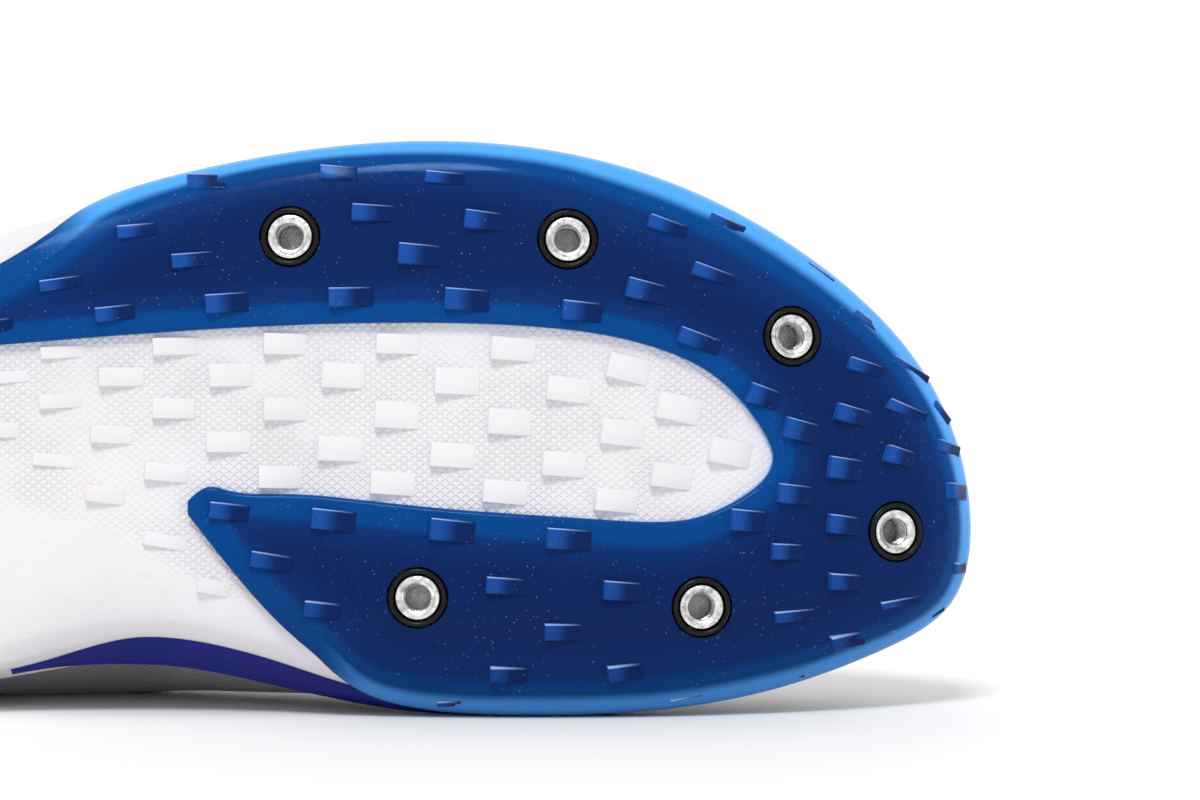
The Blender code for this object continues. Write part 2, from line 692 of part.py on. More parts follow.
def heel_counter():
    """Stiff cup round the back of the heel."""
    first, last = PLACE_OF["medial heel front"] + 0.01, PLACE_OF["lateral heel front"] - 0.01
    places = PLACES[(PLACES > first) & (PLACES < last)]
    middle = PLACE_OF["heel back"]
    off = np.abs(places - middle) / (last - middle)
    low = np.full(len(places), COUNTER_LOW)
    high = COUNTER_TOP - COUNTER_FALL * off**3
    return overlay("heel_counter", places, low, high, "violet_overlay", rows=4)


def side_band():
    """Ribbed band along the side wall, from the medial arch round the toe to the front of the lateral waist."""
    middle = PLACES[(PLACES < PLACE_OF[BAND_FROM]) & (PLACES > 0)]
    back = PLACES[PLACES > PLACE_OF[BAND_TO]] - 1
    places = np.unique(np.round(np.concatenate([back, PLACES[PLACES <= 0], middle]), 6))
    along = (places - places[0]) / (places[-1] - places[0])
    end = smooth_step(np.minimum(along, 1 - along) / BAND_FADE)
    near_arch = smooth_step((places - PLACE_OF["ball rear medial"]) / 0.04)
    low = 0.5 + (BAND_LOW - BAND_ARCH_DROP * near_arch - 0.5) * (0.3 + 0.7 * end)
    high = 0.5 + (BAND_TOP - 0.5) * (0.25 + 0.75 * end)
    outer, inner = [], []
    points = 2 * BAND_RIBS + 1
    for i in range(points):
        share = i / (points - 1)
        height = low + (high - low) * share
        crest = i % 2
        depth = BAND_BACK + BAND_THICK * (0.45 + 0.55 * end) - RIB_DEPTH * end * (1 - crest)
        outer.append(wall_point(places, height, depth))
        if i in (0, points // 2, points - 1):
            inner.append(wall_point(places, height, np.full(len(places), BAND_BACK)))
    bm = bmesh.new()
    front, rear = grid_verts(bm, outer), grid_verts(bm, inner)
    skin(bm, front, closed=False)
    skin(bm, rear, closed=False)
    skin(bm, [front[0], rear[0]], closed=False)
    skin(bm, [front[-1], rear[-1]], closed=False)
    for side in (0, -1):
        bm.faces.new([row[side] for row in front] + [row[side] for row in reversed(rear)])
    return object_from("side_band", bm, "violet_foam")


plate_edges = spline_through(
    chord_knots(np.array([[(a + c) / 2, (b + d) / 2] for a, b, c, d, _ in PLATE])),
    np.array(PLATE, float),
)


def plate_rows(shares):
    """The plate's edges at shares of its length, the outer one snapped to the sole's edge where it wraps."""
    row = plate_edges(shares)
    wrap = np.clip(row[:, 4], 0, 1)
    away = np.linalg.norm(row[:, None, :2] - DENSE_EDGE[None, :, :2], axis=2)
    nearest = away.argmin(axis=1)
    row[:, :2] += (DENSE_EDGE[nearest, :2] - row[:, :2]) * smooth_step(wrap)[:, None]
    return row, wrap, DENSE_PLACES[nearest]


def plate_stations():
    """Shares of the plate's length where it is sectioned: at the sole's own sections along the rim."""
    shares = np.linspace(0, 1, 2000)
    row, wrap, places = plate_rows(shares)
    rim = wrap > 0.99
    signed = (places[rim] + 0.5) % 1.0
    wanted = (PLACES + 0.5) % 1.0
    wanted = wanted[(wanted > signed.min()) & (wanted < signed.max())]
    on_rim = np.sort(np.interp(wanted, signed, shares[rim]))
    before = np.linspace(0, on_rim[0], TAIL_STATIONS, endpoint=False)
    after = np.linspace(1, on_rim[-1], TAIL_STATIONS, endpoint=False)[::-1]
    return np.concatenate([before, on_rim, after])


def spike_plate():
    """Glossy plate that wraps the rim of the forefoot and leaves the middle of the sole open."""
    row, wrap, places = plate_rows(plate_stations())
    out_high, out_low = PLATE_GAP + PLATE_THICK, PLATE_GAP
    outer_edge, inner_edge = row[:, :2], row[:, 2:4]
    width = np.linalg.norm(inner_edge - outer_edge, axis=1)
    rounding = np.minimum(0.5, 0.2 * width) / width

    def lay(share, out):
        plan = outer_edge + (inner_edge - outer_edge) * np.asarray(share)[..., None]
        return tread_point(plan, out)[0]

    def rim(out):
        free = lay(np.zeros(len(row)), min(out, PLATE_GAP + 0.5 * PLATE_THICK))
        wrapped = wall_point(places, np.full(len(row), PLATE_WRAP), np.full(len(row), out))
        return free + (wrapped - free) * smooth_step(wrap)[:, None]

    shares = [rounding * (1 - smooth_step(wrap))]
    for inset in PLATE_INSETS:
        shares.append(rounding + (1 - 2 * rounding) * inset / PLATE_REACH)
    shares.append(1 - rounding)
    front = [rim(out_high)] + [lay(share, out_high) for share in shares]
    back = [rim(out_low)] + [lay(share, out_low) for share in shares]
    front.append(lay(np.ones(len(row)), PLATE_GAP + 0.5 * PLATE_THICK))
    back.append(lay(np.ones(len(row)), out_low))
    return thick_sheet("spike_plate", front, back, "blue_plate")


def seat_matrix(x, y, out):
    """A frame on the underside with its z axis pointing out of the sole."""
    point, outward = tread_point([[x, y]], out)
    axis = Vector(outward[0])
    return Matrix.Translation(Vector(point[0])) @ axis.to_track_quat("Z", "Y").to_matrix().to_4x4()


def turned(name, profile_rows, frame, finish, closed):
    """A solid turned from (radius, depth) rows, placed on its seat with depths running into the sole."""
    bm = bmesh.new()
    line = [bm.verts.new((radius, 0.0, -depth)) for radius, depth in profile_rows]
    edges = [bm.edges.new(pair) for pair in zip(line, line[1:])]
    if closed:
        edges.append(bm.edges.new((line[-1], line[0])))
    bmesh.ops.spin(
        bm,
        geom=line + edges,
        cent=(0, 0, 0),
        axis=(0, 0, 1),
        angle=2 * math.pi,
        steps=SEAT_STEPS,
        use_merge=True,
    )
    bmesh.ops.transform(bm, matrix=frame, verts=bm.verts)
    return object_from(name, bm, finish)


def seat_cutter(index, frame):
    bm = bmesh.new()
    bmesh.ops.create_cone(
        bm,
        cap_ends=True,
        segments=SEAT_STEPS,
        radius1=SEAT_HOLE_RADIUS,
        radius2=SEAT_HOLE_RADIUS,
        depth=SEAT_DEPTH + 2,
        matrix=frame @ Matrix.Translation((0, 0, 1 - SEAT_DEPTH / 2)),
    )
    return object_from(f"seat_cutter_{index}", bm, "black_collar")


def spike_seats():
    """Threaded inserts in their black collars, and the pockets that they stand in."""
    cutters = []
    for index, (name, (x, y)) in enumerate(SPIKE_SEATS.items(), 1):
        frame = seat_matrix(x, y, PLATE_GAP + PLATE_THICK)
        turned(name, INSERT_PROFILE, frame, "steel_insert", closed=False)
        turned(f"insert_ring_{index}", RING_PROFILE, frame, "black_collar", closed=True)
        cutters.append(seat_cutter(index, frame))
    return cutters


def inside(polygon, x, y):
    """Whether a plan point lies in a polygon."""
    ahead = np.roll(polygon, -1, axis=0)
    spans = (polygon[:, 1] > y) != (ahead[:, 1] > y)
    rise = ahead[:, 1] - polygon[:, 1]
    crossing = polygon[:, 0] + (ahead[:, 0] - polygon[:, 0]) * (y - polygon[:, 1]) / np.where(rise, rise, 1)
    return bool((spans & (x < crossing)).sum() % 2)


def distance_to(polygon, x, y):
    """How far a plan point is from a polygon's border."""
    along = np.roll(polygon, -1, axis=0) - polygon
    away = np.array([x, y]) - polygon
    length = np.maximum((along * along).sum(-1), 1e-9)
    share = np.clip((away * along).sum(-1) / length, 0, 1)
    return np.linalg.norm(away - share[:, None] * along, axis=1).min()


def heel_lugs():
    """Places of the lugs behind those of the forefoot, as rows of WHITE_LUGS."""
    row, _, _ = plate_rows(np.linspace(0, 1, 160))
    plate_outline = np.vstack([row[:, :2], row[::-1, 2:4]])
    sole_outline = DENSE_EDGE[:, :2]
    arch_x, arch_y = np.array(SMOOTH_ARCH).T
    length, width = HEEL_LUG
    for column in range(HEEL_COLUMNS):
        x = HEEL_FIRST - HEEL_COLUMN_STEP * column
        front, back = HEEL_MIDDLE
        middle = front + (back - front) * smooth_step((column + 1) / HEEL_COLUMNS)
        for step in range(-HEEL_ROWS, HEEL_ROWS + 1):
            y = middle + HEEL_ROW_STEP * (step + 0.5 * (column % 2))
            if not inside(sole_outline, x, y) or inside(plate_outline, x, y):
                continue
            if distance_to(plate_outline, x, y) < 0.5 * length + HEEL_LUG_MARGIN:
                continue
            if distance_to(sole_outline, x, y) < HEEL_LUG_FROM_RIM:
                continue
            if y > np.interp(x, arch_x, arch_y):
                continue
            yield x, y, length, width, 0.0


def lug(name, site, tallest, out):
    """A wedge that is tall at its heel end and runs out towards the toe."""
    x, y, length, width, turn = site
    height = tallest * min(1.0, width / FULL_HEIGHT_WIDTH)
    along = np.array([math.cos(math.radians(turn)), math.sin(math.radians(turn))])
    across = np.array([-along[1], along[0]])
    corners = [(-0.5, -0.5), (0.5, -0.5), (0.5, 0.5), (-0.5, 0.5)]
    foot, top = [], []
    for u, v in corners:
        plan = np.array([x, y]) + along * u * length + across * v * width
        narrowed = np.array([x, y]) + along * u * length + across * v * (width - LUG_DRAFT)
        foot.append(tread_point([plan], out - LUG_SINK)[0][0])
        top.append(tread_point([narrowed], out + (height if u < 0 else LUG_TIP))[0][0])
    bm = bmesh.new()
    low, high = grid_verts(bm, [foot, top])
    skin(bm, [low, high], closed=True)
    bm.faces.new(low)
    bm.faces.new(high)
    return object_from(name, bm, "white_foam")


def lugs():
    """The lugs of the white sole and those of the plate."""
    white_sites = [*WHITE_LUGS, *heel_lugs()]
    white = [lug(f"white_lug_{i}", site, WHITE_LUG_HEIGHT, 0.0) for i, site in enumerate(white_sites)]
    front = PLATE_GAP + PLATE_THICK
    plate = [lug(f"plate_lug_{i}", site, PLATE_LUG_HEIGHT, front) for i, site in enumerate(PLATE_LUGS)]
    return white, plate


def tongue():
    """Padded tongue under the throat, rising above the collar."""

    def under(place, inset):
        share = share_from_edge(np.array([place]), inset)
        depth = wall_thickness(np.array([place]), share) + 3 * GAP
        return upper_skin(np.array([place]), share, -depth)[0]

    def pair(x):
        return throat_place(x, "lateral") - 1, throat_place(x, "medial")

    def across(lateral_far, lateral_near, medial_near, medial_far, crown):
        middle = []
        for share in (0.3, 0.5, 0.7):
            point = lateral_near + (medial_near - lateral_near) * share
            middle.append(point + np.array([0, 0, crown * (1 - (2 * share - 1) ** 2)]))
        return [lateral_far, lateral_near, *middle, medial_near, medial_far]

    front = [(193, -1), (196, -1), (197.6, -1), (199, 0), (197.6, 1), (196, 1), (193, 1)]
    rows = [[under(pair(x)[0] if side < 0 else pair(x)[1], TONGUE_UNDER) for x, side in front]]
    fan = [(187, -1, TONGUE_UNDER), (191, -1, 1), (195, -1, 1), (199, 0, 1), (195, 1, 1), (191, 1, 1)]
    fan.append((187, 1, TONGUE_UNDER))
    rows.append([under(pair(x)[0] if side < 0 else pair(x)[1], inset) for x, side, inset in fan])
    for x in TONGUE_PAIRS:
        lateral, medial = pair(x)
        rows.append(
            across(
                under(lateral, TONGUE_UNDER),
                under(lateral, 1.0),
                under(medial, 1.0),
                under(medial, TONGUE_UNDER),
                1.6,
            )
        )
    for x, z, half in TONGUE_TOP:
        spread = np.array([-1.0, -0.8, -0.4, 0.0, 0.4, 0.8, 1.0])
        y = TONGUE_MIDDLE + half * spread
        rows.append(np.column_stack([np.full(7, x), y, z - 4.0 * spread**2]))
    outer = np.array([[np.asarray(point) for point in row] for row in rows])
    forward = np.gradient(outer, axis=0)
    sideways = np.gradient(outer, axis=1)
    down = np.cross(forward, sideways)
    down /= np.linalg.norm(down, axis=-1, keepdims=True)
    down *= np.where(down[..., 2:3] > 0, -1, 1)
    return thick_sheet("tongue", outer, outer + down * TONGUE_THICK, "grey_textile")


def ribbon(name, points, faces):
    """A flat lace along a smooth path, facing the given ways at its points."""
    knots, shares = chord_knots(np.array(points)), np.linspace(0, 1, 8)
    path = spline_through(knots, np.array(points))(shares)
    up = np.stack([np.interp(shares, knots, column) for column in np.array(faces).T], axis=1)
    along = np.gradient(path, axis=0)
    along /= np.linalg.norm(along, axis=1, keepdims=True)
    side = np.cross(along, up)
    side /= np.linalg.norm(side, axis=1, keepdims=True)
    face = np.cross(side, along)
    rings = []
    for u, v in ((-0.5, -0.5), (0.5, -0.5), (0.5, 0.5), (-0.5, 0.5)):
        rings.append(path + side * u * LACE_WIDTH + face * v * LACE_THICK)
    rings = np.array(rings).transpose(1, 0, 2)
    bm = bmesh.new()
    verts = grid_verts(bm, rings)
    skin(bm, verts, closed=True)
    bm.faces.new(verts[0])
    bm.faces.new(verts[-1])
    return object_from(name, bm, "white_lace")


def eyelet_places(index):
    x = EYELET_PLACES[index]
    return throat_place(x, "lateral") - 1, throat_place(x, "medial")


def lace_end(place, inset, lift):
    place = np.array([place])
    return upper_skin(place, share_from_edge(place, inset), np.array([lift]))[0]


def throat_stop(place, towards):
    """Where a lace dips beside the throat's edge on its way under it."""
    rim = lace_end(place, 0.0, 0.0)
    way = towards - rim
    way[2] = 0
    way /= np.linalg.norm(way)
    return rim + way * 1.6 + np.array([2.0, 0, 0.6])


def skin_normal(place, inset):
    return lace_end(place, inset, 1.0) - lace_end(place, inset, 0.0)


def lace_bar():
    """The straight first run of the lace, over the front pair of eyelets."""
    lateral, medial = eyelet_places(0)
    points, faces = [], []
    for place, inset in ((lateral, EYELET_INSET), (lateral, 0.0), (medial, 0.0), (medial, EYELET_INSET)):
        points.append(lace_end(place, inset, LACE_LIFT + (0.0 if inset else 0.4)))
        faces.append(skin_normal(place, inset))
    points.insert(2, 0.5 * (points[1] + points[2]) + np.array([0, 0, 0.5]))
    faces.insert(2, THROAT_FACE)
    return ribbon("lace_bar", points, faces)


def lace_crossing(index):
    """One crossing of the lace, as two ribbons joined where they cross."""
    here, there = eyelet_places(index), eyelet_places(index + 1)
    strands = []
    for side in (0, 1):
        start, end = here[side], there[1 - side]
        target = lace_end(end, 0.0, 0.0)
        middle = 0.5 * (lace_end(start, 0.0, 0.0) + target)
        middle = middle + np.array([0, 0, 2.2 + (0.9 if side else 0.0)])
        points = [middle, throat_stop(end, middle)]
        faces = [THROAT_FACE, THROAT_FACE]
        if index == 0:
            points.insert(0, throat_stop(start, target) + np.array([-8.0, 0, 2.6]))
            faces.insert(0, THROAT_FACE)
        else:
            rim = lace_end(start, 0.0, LACE_LIFT + 0.4) + (target - lace_end(start, 0.0, 0.0)) * 0.04
            points = [lace_end(start, EYELET_INSET, LACE_LIFT), rim, *points]
            faces = [skin_normal(start, EYELET_INSET), skin_normal(start, 0.0), *faces]
        name = f"lace_strand_{index + 1}" if side else f"lace_crossing_{index + 1}"
        strands.append(ribbon(name, points, faces))
    boolean(strands[0], "UNION", collection_of(f"crossing_{index + 1}", strands[1:]))


def eyelet_cutters():
    cutters = []
    for index in range(len(EYELET_PLACES)):
        for side, place in enumerate(eyelet_places(index)):
            low, high = lace_end(place, EYELET_INSET, -6.0), lace_end(place, EYELET_INSET, 4.0)
            axis = Vector(high - low)
            turn = axis.to_track_quat("Z", "Y").to_matrix().to_4x4()
            middle = Matrix.Translation(Vector(0.5 * (low + high)))
            bm = bmesh.new()
            bmesh.ops.create_cone(
                bm,
                cap_ends=True,
                segments=8,
                radius1=EYELET_RADIUS,
                radius2=EYELET_RADIUS,
                depth=axis.length,
                matrix=middle @ turn,
            )
            cutters.append(object_from(f"eyelet_cutter_{index + 1}_{side}", bm, "black_collar"))
    return cutters


def on_side():
    """The turn that lays the shoe on its medial side, with its sole facing -Y and leaning by LEAN_DEG."""
    lean = math.radians(LEAN_DEG)
    return Matrix(
        (
            (1, 0, 0),
            (0, -math.sin(lean), math.cos(lean)),
            (0, -math.cos(lean), -math.sin(lean)),
        )
    )


def flats(pieces):
    """Cuts what would stick through the floor, so that the shoe lies on real flat spots."""
    bm = bmesh.new()
    bmesh.ops.create_cube(bm, size=400.0, matrix=Matrix.Translation((0, 0, -200.0)))
    cutter = object_from("floor_cutter", bm, "black_collar")
    cutter.parent = None
    group = collection_of("floor", [cutter])
    for piece in pieces:
        boolean(piece, "DIFFERENCE", group)


def place_on_floor(frame, pieces):
    """Centres the part on the floor, sunk by the depth of its flats."""
    turn = on_side()
    points = [vertex.co for piece in pieces for vertex in piece.data.vertices]
    turned_points = np.array(points) @ np.array(turn).T
    low, high = turned_points.min(axis=0), turned_points.max(axis=0)
    middle = 0.5 * (low + high)
    frame.matrix_world = turn.to_4x4()
    frame.location = (-middle[0], -middle[1], -low[2] - FLAT_DEPTH * MM)


def main():
    for existing in list(bpy.data.objects):
        bpy.data.objects.remove(existing, do_unlink=True)
    frame = bpy.data.objects.new("shoe_frame", None)
    bpy.context.scene.collection.objects.link(frame)

    sole = midsole()
    plate = spike_plate()
    band = side_band()
    shell = upper()
    counter = heel_counter()
    stay = eyestay()
    bed = insole()
    flap = tongue()
    standing = [sole, plate, band, shell, counter, stay, bed, flap]

    seats = collection_of("seats", spike_seats())
    white_lugs, plate_lugs = lugs()
    boolean(sole, "UNION", collection_of("white_lugs", white_lugs))
    boolean(plate, "UNION", collection_of("plate_lugs", plate_lugs))
    boolean(sole, "DIFFERENCE", seats)
    boolean(plate, "DIFFERENCE", seats)
    holes = collection_of("eyelets", eyelet_cutters())
    boolean(stay, "DIFFERENCE", holes)
    boolean(shell, "DIFFERENCE", holes)
    lace_bar()
    for index in range(len(EYELET_PLACES) - 1):
        lace_crossing(index)
    place_on_floor(frame, standing)
    flats([sole, plate, band, shell, counter])


main()
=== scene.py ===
"""Looks of the right track spike shoe that lies on its side.

Shapes are worked out on the shoe's own axes, in millimetres: x runs from the back of the heel to the toe,
y towards the medial side and z up from the ground under the ball. lay() then puts them in the frame's place.
"""

import math

import bpy
import numpy as np
from mathutils import Matrix, Vector


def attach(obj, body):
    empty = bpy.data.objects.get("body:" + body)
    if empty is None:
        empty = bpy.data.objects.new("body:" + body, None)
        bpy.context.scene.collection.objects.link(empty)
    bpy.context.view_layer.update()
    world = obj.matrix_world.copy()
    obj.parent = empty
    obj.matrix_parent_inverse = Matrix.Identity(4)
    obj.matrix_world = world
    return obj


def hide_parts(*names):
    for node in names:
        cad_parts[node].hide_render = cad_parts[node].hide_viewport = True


bl_info = {
    "name": "Track Spike Shoe",
    "version": (1, 0, 0),
    "blender": (4, 5, 0),
    "location": "View3D > Sidebar > Track Spike",
    "description": "Models and finishes the pieces of a track spike shoe round its packed frame",
    "category": "Object",
}

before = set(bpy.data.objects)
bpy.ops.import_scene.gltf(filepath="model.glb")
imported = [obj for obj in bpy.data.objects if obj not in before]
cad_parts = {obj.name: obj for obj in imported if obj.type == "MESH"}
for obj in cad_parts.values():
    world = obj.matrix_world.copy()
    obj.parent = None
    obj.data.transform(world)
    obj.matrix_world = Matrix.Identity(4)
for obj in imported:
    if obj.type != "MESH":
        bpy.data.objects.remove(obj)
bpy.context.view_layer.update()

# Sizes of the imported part, in millimetres
SHOE_LENGTH = 283.0
GAP = 0.3
WALL = 1.8
PLATE_THICK = 1.4
PLATE_GAP = 0.5
LIP_THICK = 1.2
SEAT_INSET = 1.9
INSOLE_THICK = 2.8
INSOLE_INSET = 4.4
SPINE_END = 26.0

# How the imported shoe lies: its lean and where its own origin is, in metres
LEAN = math.radians(4.3)
TURN = np.array(
    (
        (1, 0, 0),
        (0, -math.sin(LEAN), math.cos(LEAN)),
        (0, -math.cos(LEAN), -math.sin(LEAN)),
    )
)
SHIFT = np.array((-0.1416757, -0.0469103, 0.0335791))

# Height of the tread's centre line and of the footbed at places along the shoe
# Columns: x, under, bed
PROFILE = (
    (0, 7.0, 20.0),
    (12, 2.6, 19.5),
    (30, 0.3, 18.6),
    (60, 0.0, 17.6),
    (90, 1.0, 16.4),
    (120, 2.6, 14.6),
    (150, 2.4, 12.4),
    (180, 0.8, 10.6),
    (205, 0.0, 9.8),
    (230, 1.9, 11.2),
    (255, 7.4, 16.2),
    (275, 14.4, 22.9),
    (285, 18.6, 27.0),
)

# The sole's widest line, seen from below: how far it stands above the tread, over what width the tread
# rolls up to it, how far the side wall flares out above it, and how high the lip stands over the footbed
# Columns: x, y, up, roll, flare, lip
SOLE_EDGE = {
    "toe tip": (281.5, -3.0, 5.5, 16, 0.0, 3.0),
    "toe medial corner": (278.6, 12.3, 5.5, 16, 0.0, 3.0),
    "medial toe": (267.4, 19.8, 5.5, 16, 0.0, 3.0),
    "medial toe joint": (243.7, 27.7, 6.0, 18, 0.3, 2.5),
    "medial ball": (205.0, 31.0, 6.0, 20, 0.7, 2.5),
    "ball rear medial": (183.0, 29.3, 6.5, 18, 1.5, 3.0),
    "medial waist front": (160.0, 22.9, 6.5, 14, 3.8, 5.0),
    "medial waist": (138.0, 19.1, 7.0, 18, 4.4, 6.0),
    "medial waist rear": (114.0, 23.8, 8.0, 24, 2.8, 5.5),
    "medial heel front": (85.0, 29.0, 8.5, 20, 1.2, 4.5),
    "medial heel": (48.0, 33.3, 8.0, 14, -1.5, 4.0),
    "heel medial corner": (14.0, 25.5, 8.5, 14, -0.8, 4.0),
    "heel back": (0.0, 0.0, 9.0, 14, 0.2, 4.0),
    "heel lateral corner": (13.0, -25.0, 8.5, 14, 0.2, 4.0),
    "lateral heel": (46.0, -34.5, 8.0, 14, 0.2, 4.0),
    "lateral heel front": (82.0, -40.5, 8.0, 14, 0.2, 4.0),
    "lateral waist": (108.0, -49.5, 8.0, 12, 0.2, 4.0),
    "lateral waist front": (135.0, -57.6, 7.0, 16, 0.2, 3.0),
    "lateral ball": (186.0, -65.5, 6.0, 20, 0.2, 2.5),
    "lateral toe joint": (223.6, -60.5, 6.0, 20, 0.0, 2.5),
    "lateral toe": (253.2, -46.0, 5.5, 16, 0.0, 3.0),
    "toe lateral corner": (273.9, -25.6, 5.5, 16, 0.0, 3.0),
}

# The upper's opening edge at the same places, how its wall leaves the sole (bulge outwards, rise) and
# how it reaches the edge (out from it, down from it), and its thickness there
# Columns: x, y, z, bulge, rise, out, down, wall
UPPER = {
    "toe tip": (198.0, -14.0, 54.5, 2.0, 17, 46, 5, 1.8),
    "toe medial corner": (197.5, -10.5, 54.7, 2.0, 17, 42, 6, 1.8),
    "medial toe": (195.0, -7.5, 55.5, 2.0, 18, 34, 8, 1.8),
    "medial toe joint": (189.0, -4.5, 57.5, 2.0, 20, 26, 7, 1.8),
    "medial ball": (176.0, -1.0, 62.0, 1.0, 24, 22, 5, 1.8),
    "ball rear medial": (163.0, 2.0, 67.0, 5.5, 22, 25, 8, 1.8),
    "medial waist front": (149.0, 5.0, 72.5, 10.0, 19, 33, 14, 1.8),
    "medial waist": (133.0, 8.0, 78.0, 6.0, 17, 38, 22, 2.2),
    "medial waist rear": (117.0, 12.0, 83.0, 5.0, 20, 31, 26, 3.4),
    "medial heel front": (92.0, 24.5, 71.0, 1.5, 20, 6.5, 20, 3.6),
    "medial heel": (56.0, 25.0, 61.0, -0.5, 16, 1, 14, 3.6),
    "heel medial corner": (16.0, 17.5, 67.5, 0.0, 20, 1, 16, 3.6),
    "heel back": (5.0, 0.0, 72.0, 1.5, 20, 0.5, 18, 3.6),
    "heel lateral corner": (16.0, -18.5, 67.0, 1.5, 20, 1, 16, 3.6),
    "lateral heel": (56.0, -29.0, 57.5, 1.5, 18, 1, 12, 3.6),
    "lateral heel front": (95.0, -32.0, 71.0, 2.0, 22, 5, 16, 3.6),
    "lateral waist": (116.0, -27.0, 82.5, 2.0, 24, 16, 14, 3.4),
    "lateral waist front": (133.0, -23.5, 78.0, 2.0, 22, 22, 14, 2.2),
    "lateral ball": (163.0, -23.5, 67.0, 2.0, 17, 22, 15, 1.8),
    "lateral toe joint": (181.0, -22.5, 60.0, 2.0, 16, 26, 11, 1.8),
    "lateral toe": (192.0, -20.0, 56.5, 2.0, 17, 38, 10, 1.8),
    "toe lateral corner": (197.0, -17.3, 54.8, 2.0, 17, 42, 7, 1.8),
}

# The spike plate's two edges, from its lateral tail round the toe to its medial tail, and how far its
# outer edge wraps up the side wall (0 where the plate lies inboard of the sole's edge)
# Columns: outer_x, outer_y, inner_x, inner_y, wrap
PLATE = (
    (93.5, -32.4, 93.5, -30.2, 0.0),
    (101.0, -37.8, 101.0, -30.6, 0.0),
    (113.7, -45.5, 113.7, -31.6, 0.0),
    (131.0, -54.6, 131.0, -33.0, 0.45),
    (150.0, -61.9, 150.0, -34.3, 1.0),
    (186.0, -65.5, 183.0, -35.4, 1.0),
    (218.0, -62.0, 210.0, -34.4, 1.0),
    (240.0, -54.0, 225.0, -31.8, 1.0),
    (256.0, -44.0, 236.0, -27.3, 1.0),
    (270.0, -31.0, 243.0, -21.0, 1.0),
    (279.0, -15.0, 247.0, -15.0, 1.0),
    (281.5, -2.0, 247.8, -11.5, 1.0),
    (279.0, 12.0, 245.5, -7.5, 1.0),
    (267.4, 19.8, 239.0, -3.3, 1.0),
    (243.7, 27.7, 229.0, -0.9, 1.0),
    (215.0, 31.2, 212.0, -1.7, 1.0),
    (195.0, 31.0, 193.0, -3.0, 1.0),
    (181.0, 28.4, 178.0, -4.5, 0.6),
    (166.0, 19.8, 164.0, -5.7, 0.0),
    (154.0, 7.7, 153.0, -6.4, 0.0),
    (148.0, 0.2, 148.0, -6.1, 0.0),
    (146.3, -2.0, 146.3, -4.6, 0.0),
)

# How wide the light that gathers along the plate's outer edge and its inner edge is, for each row of PLATE
GLOW = (
    (3.0, 3.5, 4.0, 4.2, 3.2, 3.2, 4.2, 4.6, 4.4, 3.6, 3.0)
    + (2.8, 2.8, 3.2, 4.0, 4.2, 4.2, 3.6, 3.2, 3.2, 3.8, 3.8),
    (2.6,) * 13 + (2.8,) + (3.1,) * 6 + (3.8, 3.8),
)
# The width that the plate's colours are drawn for, and how near to an edge the inner light comes
GLOW_WIDTH = 2.2
INNER_GLOW = 2.0

# The plate's section: how far its back is off the tread, how round its edges are, and its rolled rim
# Columns: share of the rounding, height on the side wall, distance off the wall
PLATE_BACK = 0.12
PLATE_ROUND = 0.9
PLATE_STATIONS = 260
PLATE_COLUMNS = 26
PLATE_TAIL = 0.03
RIM_SECTION = (
    (0.0, 0.16, 0.7),
    (0.06, 0.158, 1.2),
    (0.2, 0.15, 1.6),
    (0.45, 0.125, 1.82),
    (0.75, 0.08, 1.9),
    (1.0, 0.03, 1.9),
)

# Spike seats: their places on the sole
SPIKE_SEATS = (
    (164.1, -50.3),
    (212.2, -49.8),
    (250.9, -33.1),
    (269.1, 0.9),
    (235.3, 13.9),
    (186.3, 12.3),
)
SEAT_HOLE_RADIUS = 5.4
SEAT_DEPTH = 6.2
SEAT_SIDES = 56

# The inserts' bore, which gets painted shade deeper down, and their chamfer, which gets painted shade where
# it turns away from the light
BORE_RADIUS = 2.7
BORE_FROM = 0.9
BORE_FADE = 0.5
CHAMFER_RADII = (2.2, 3.0)
CHAMFER_SHADE_SIDE = (-0.55, 0.0, 0.84)

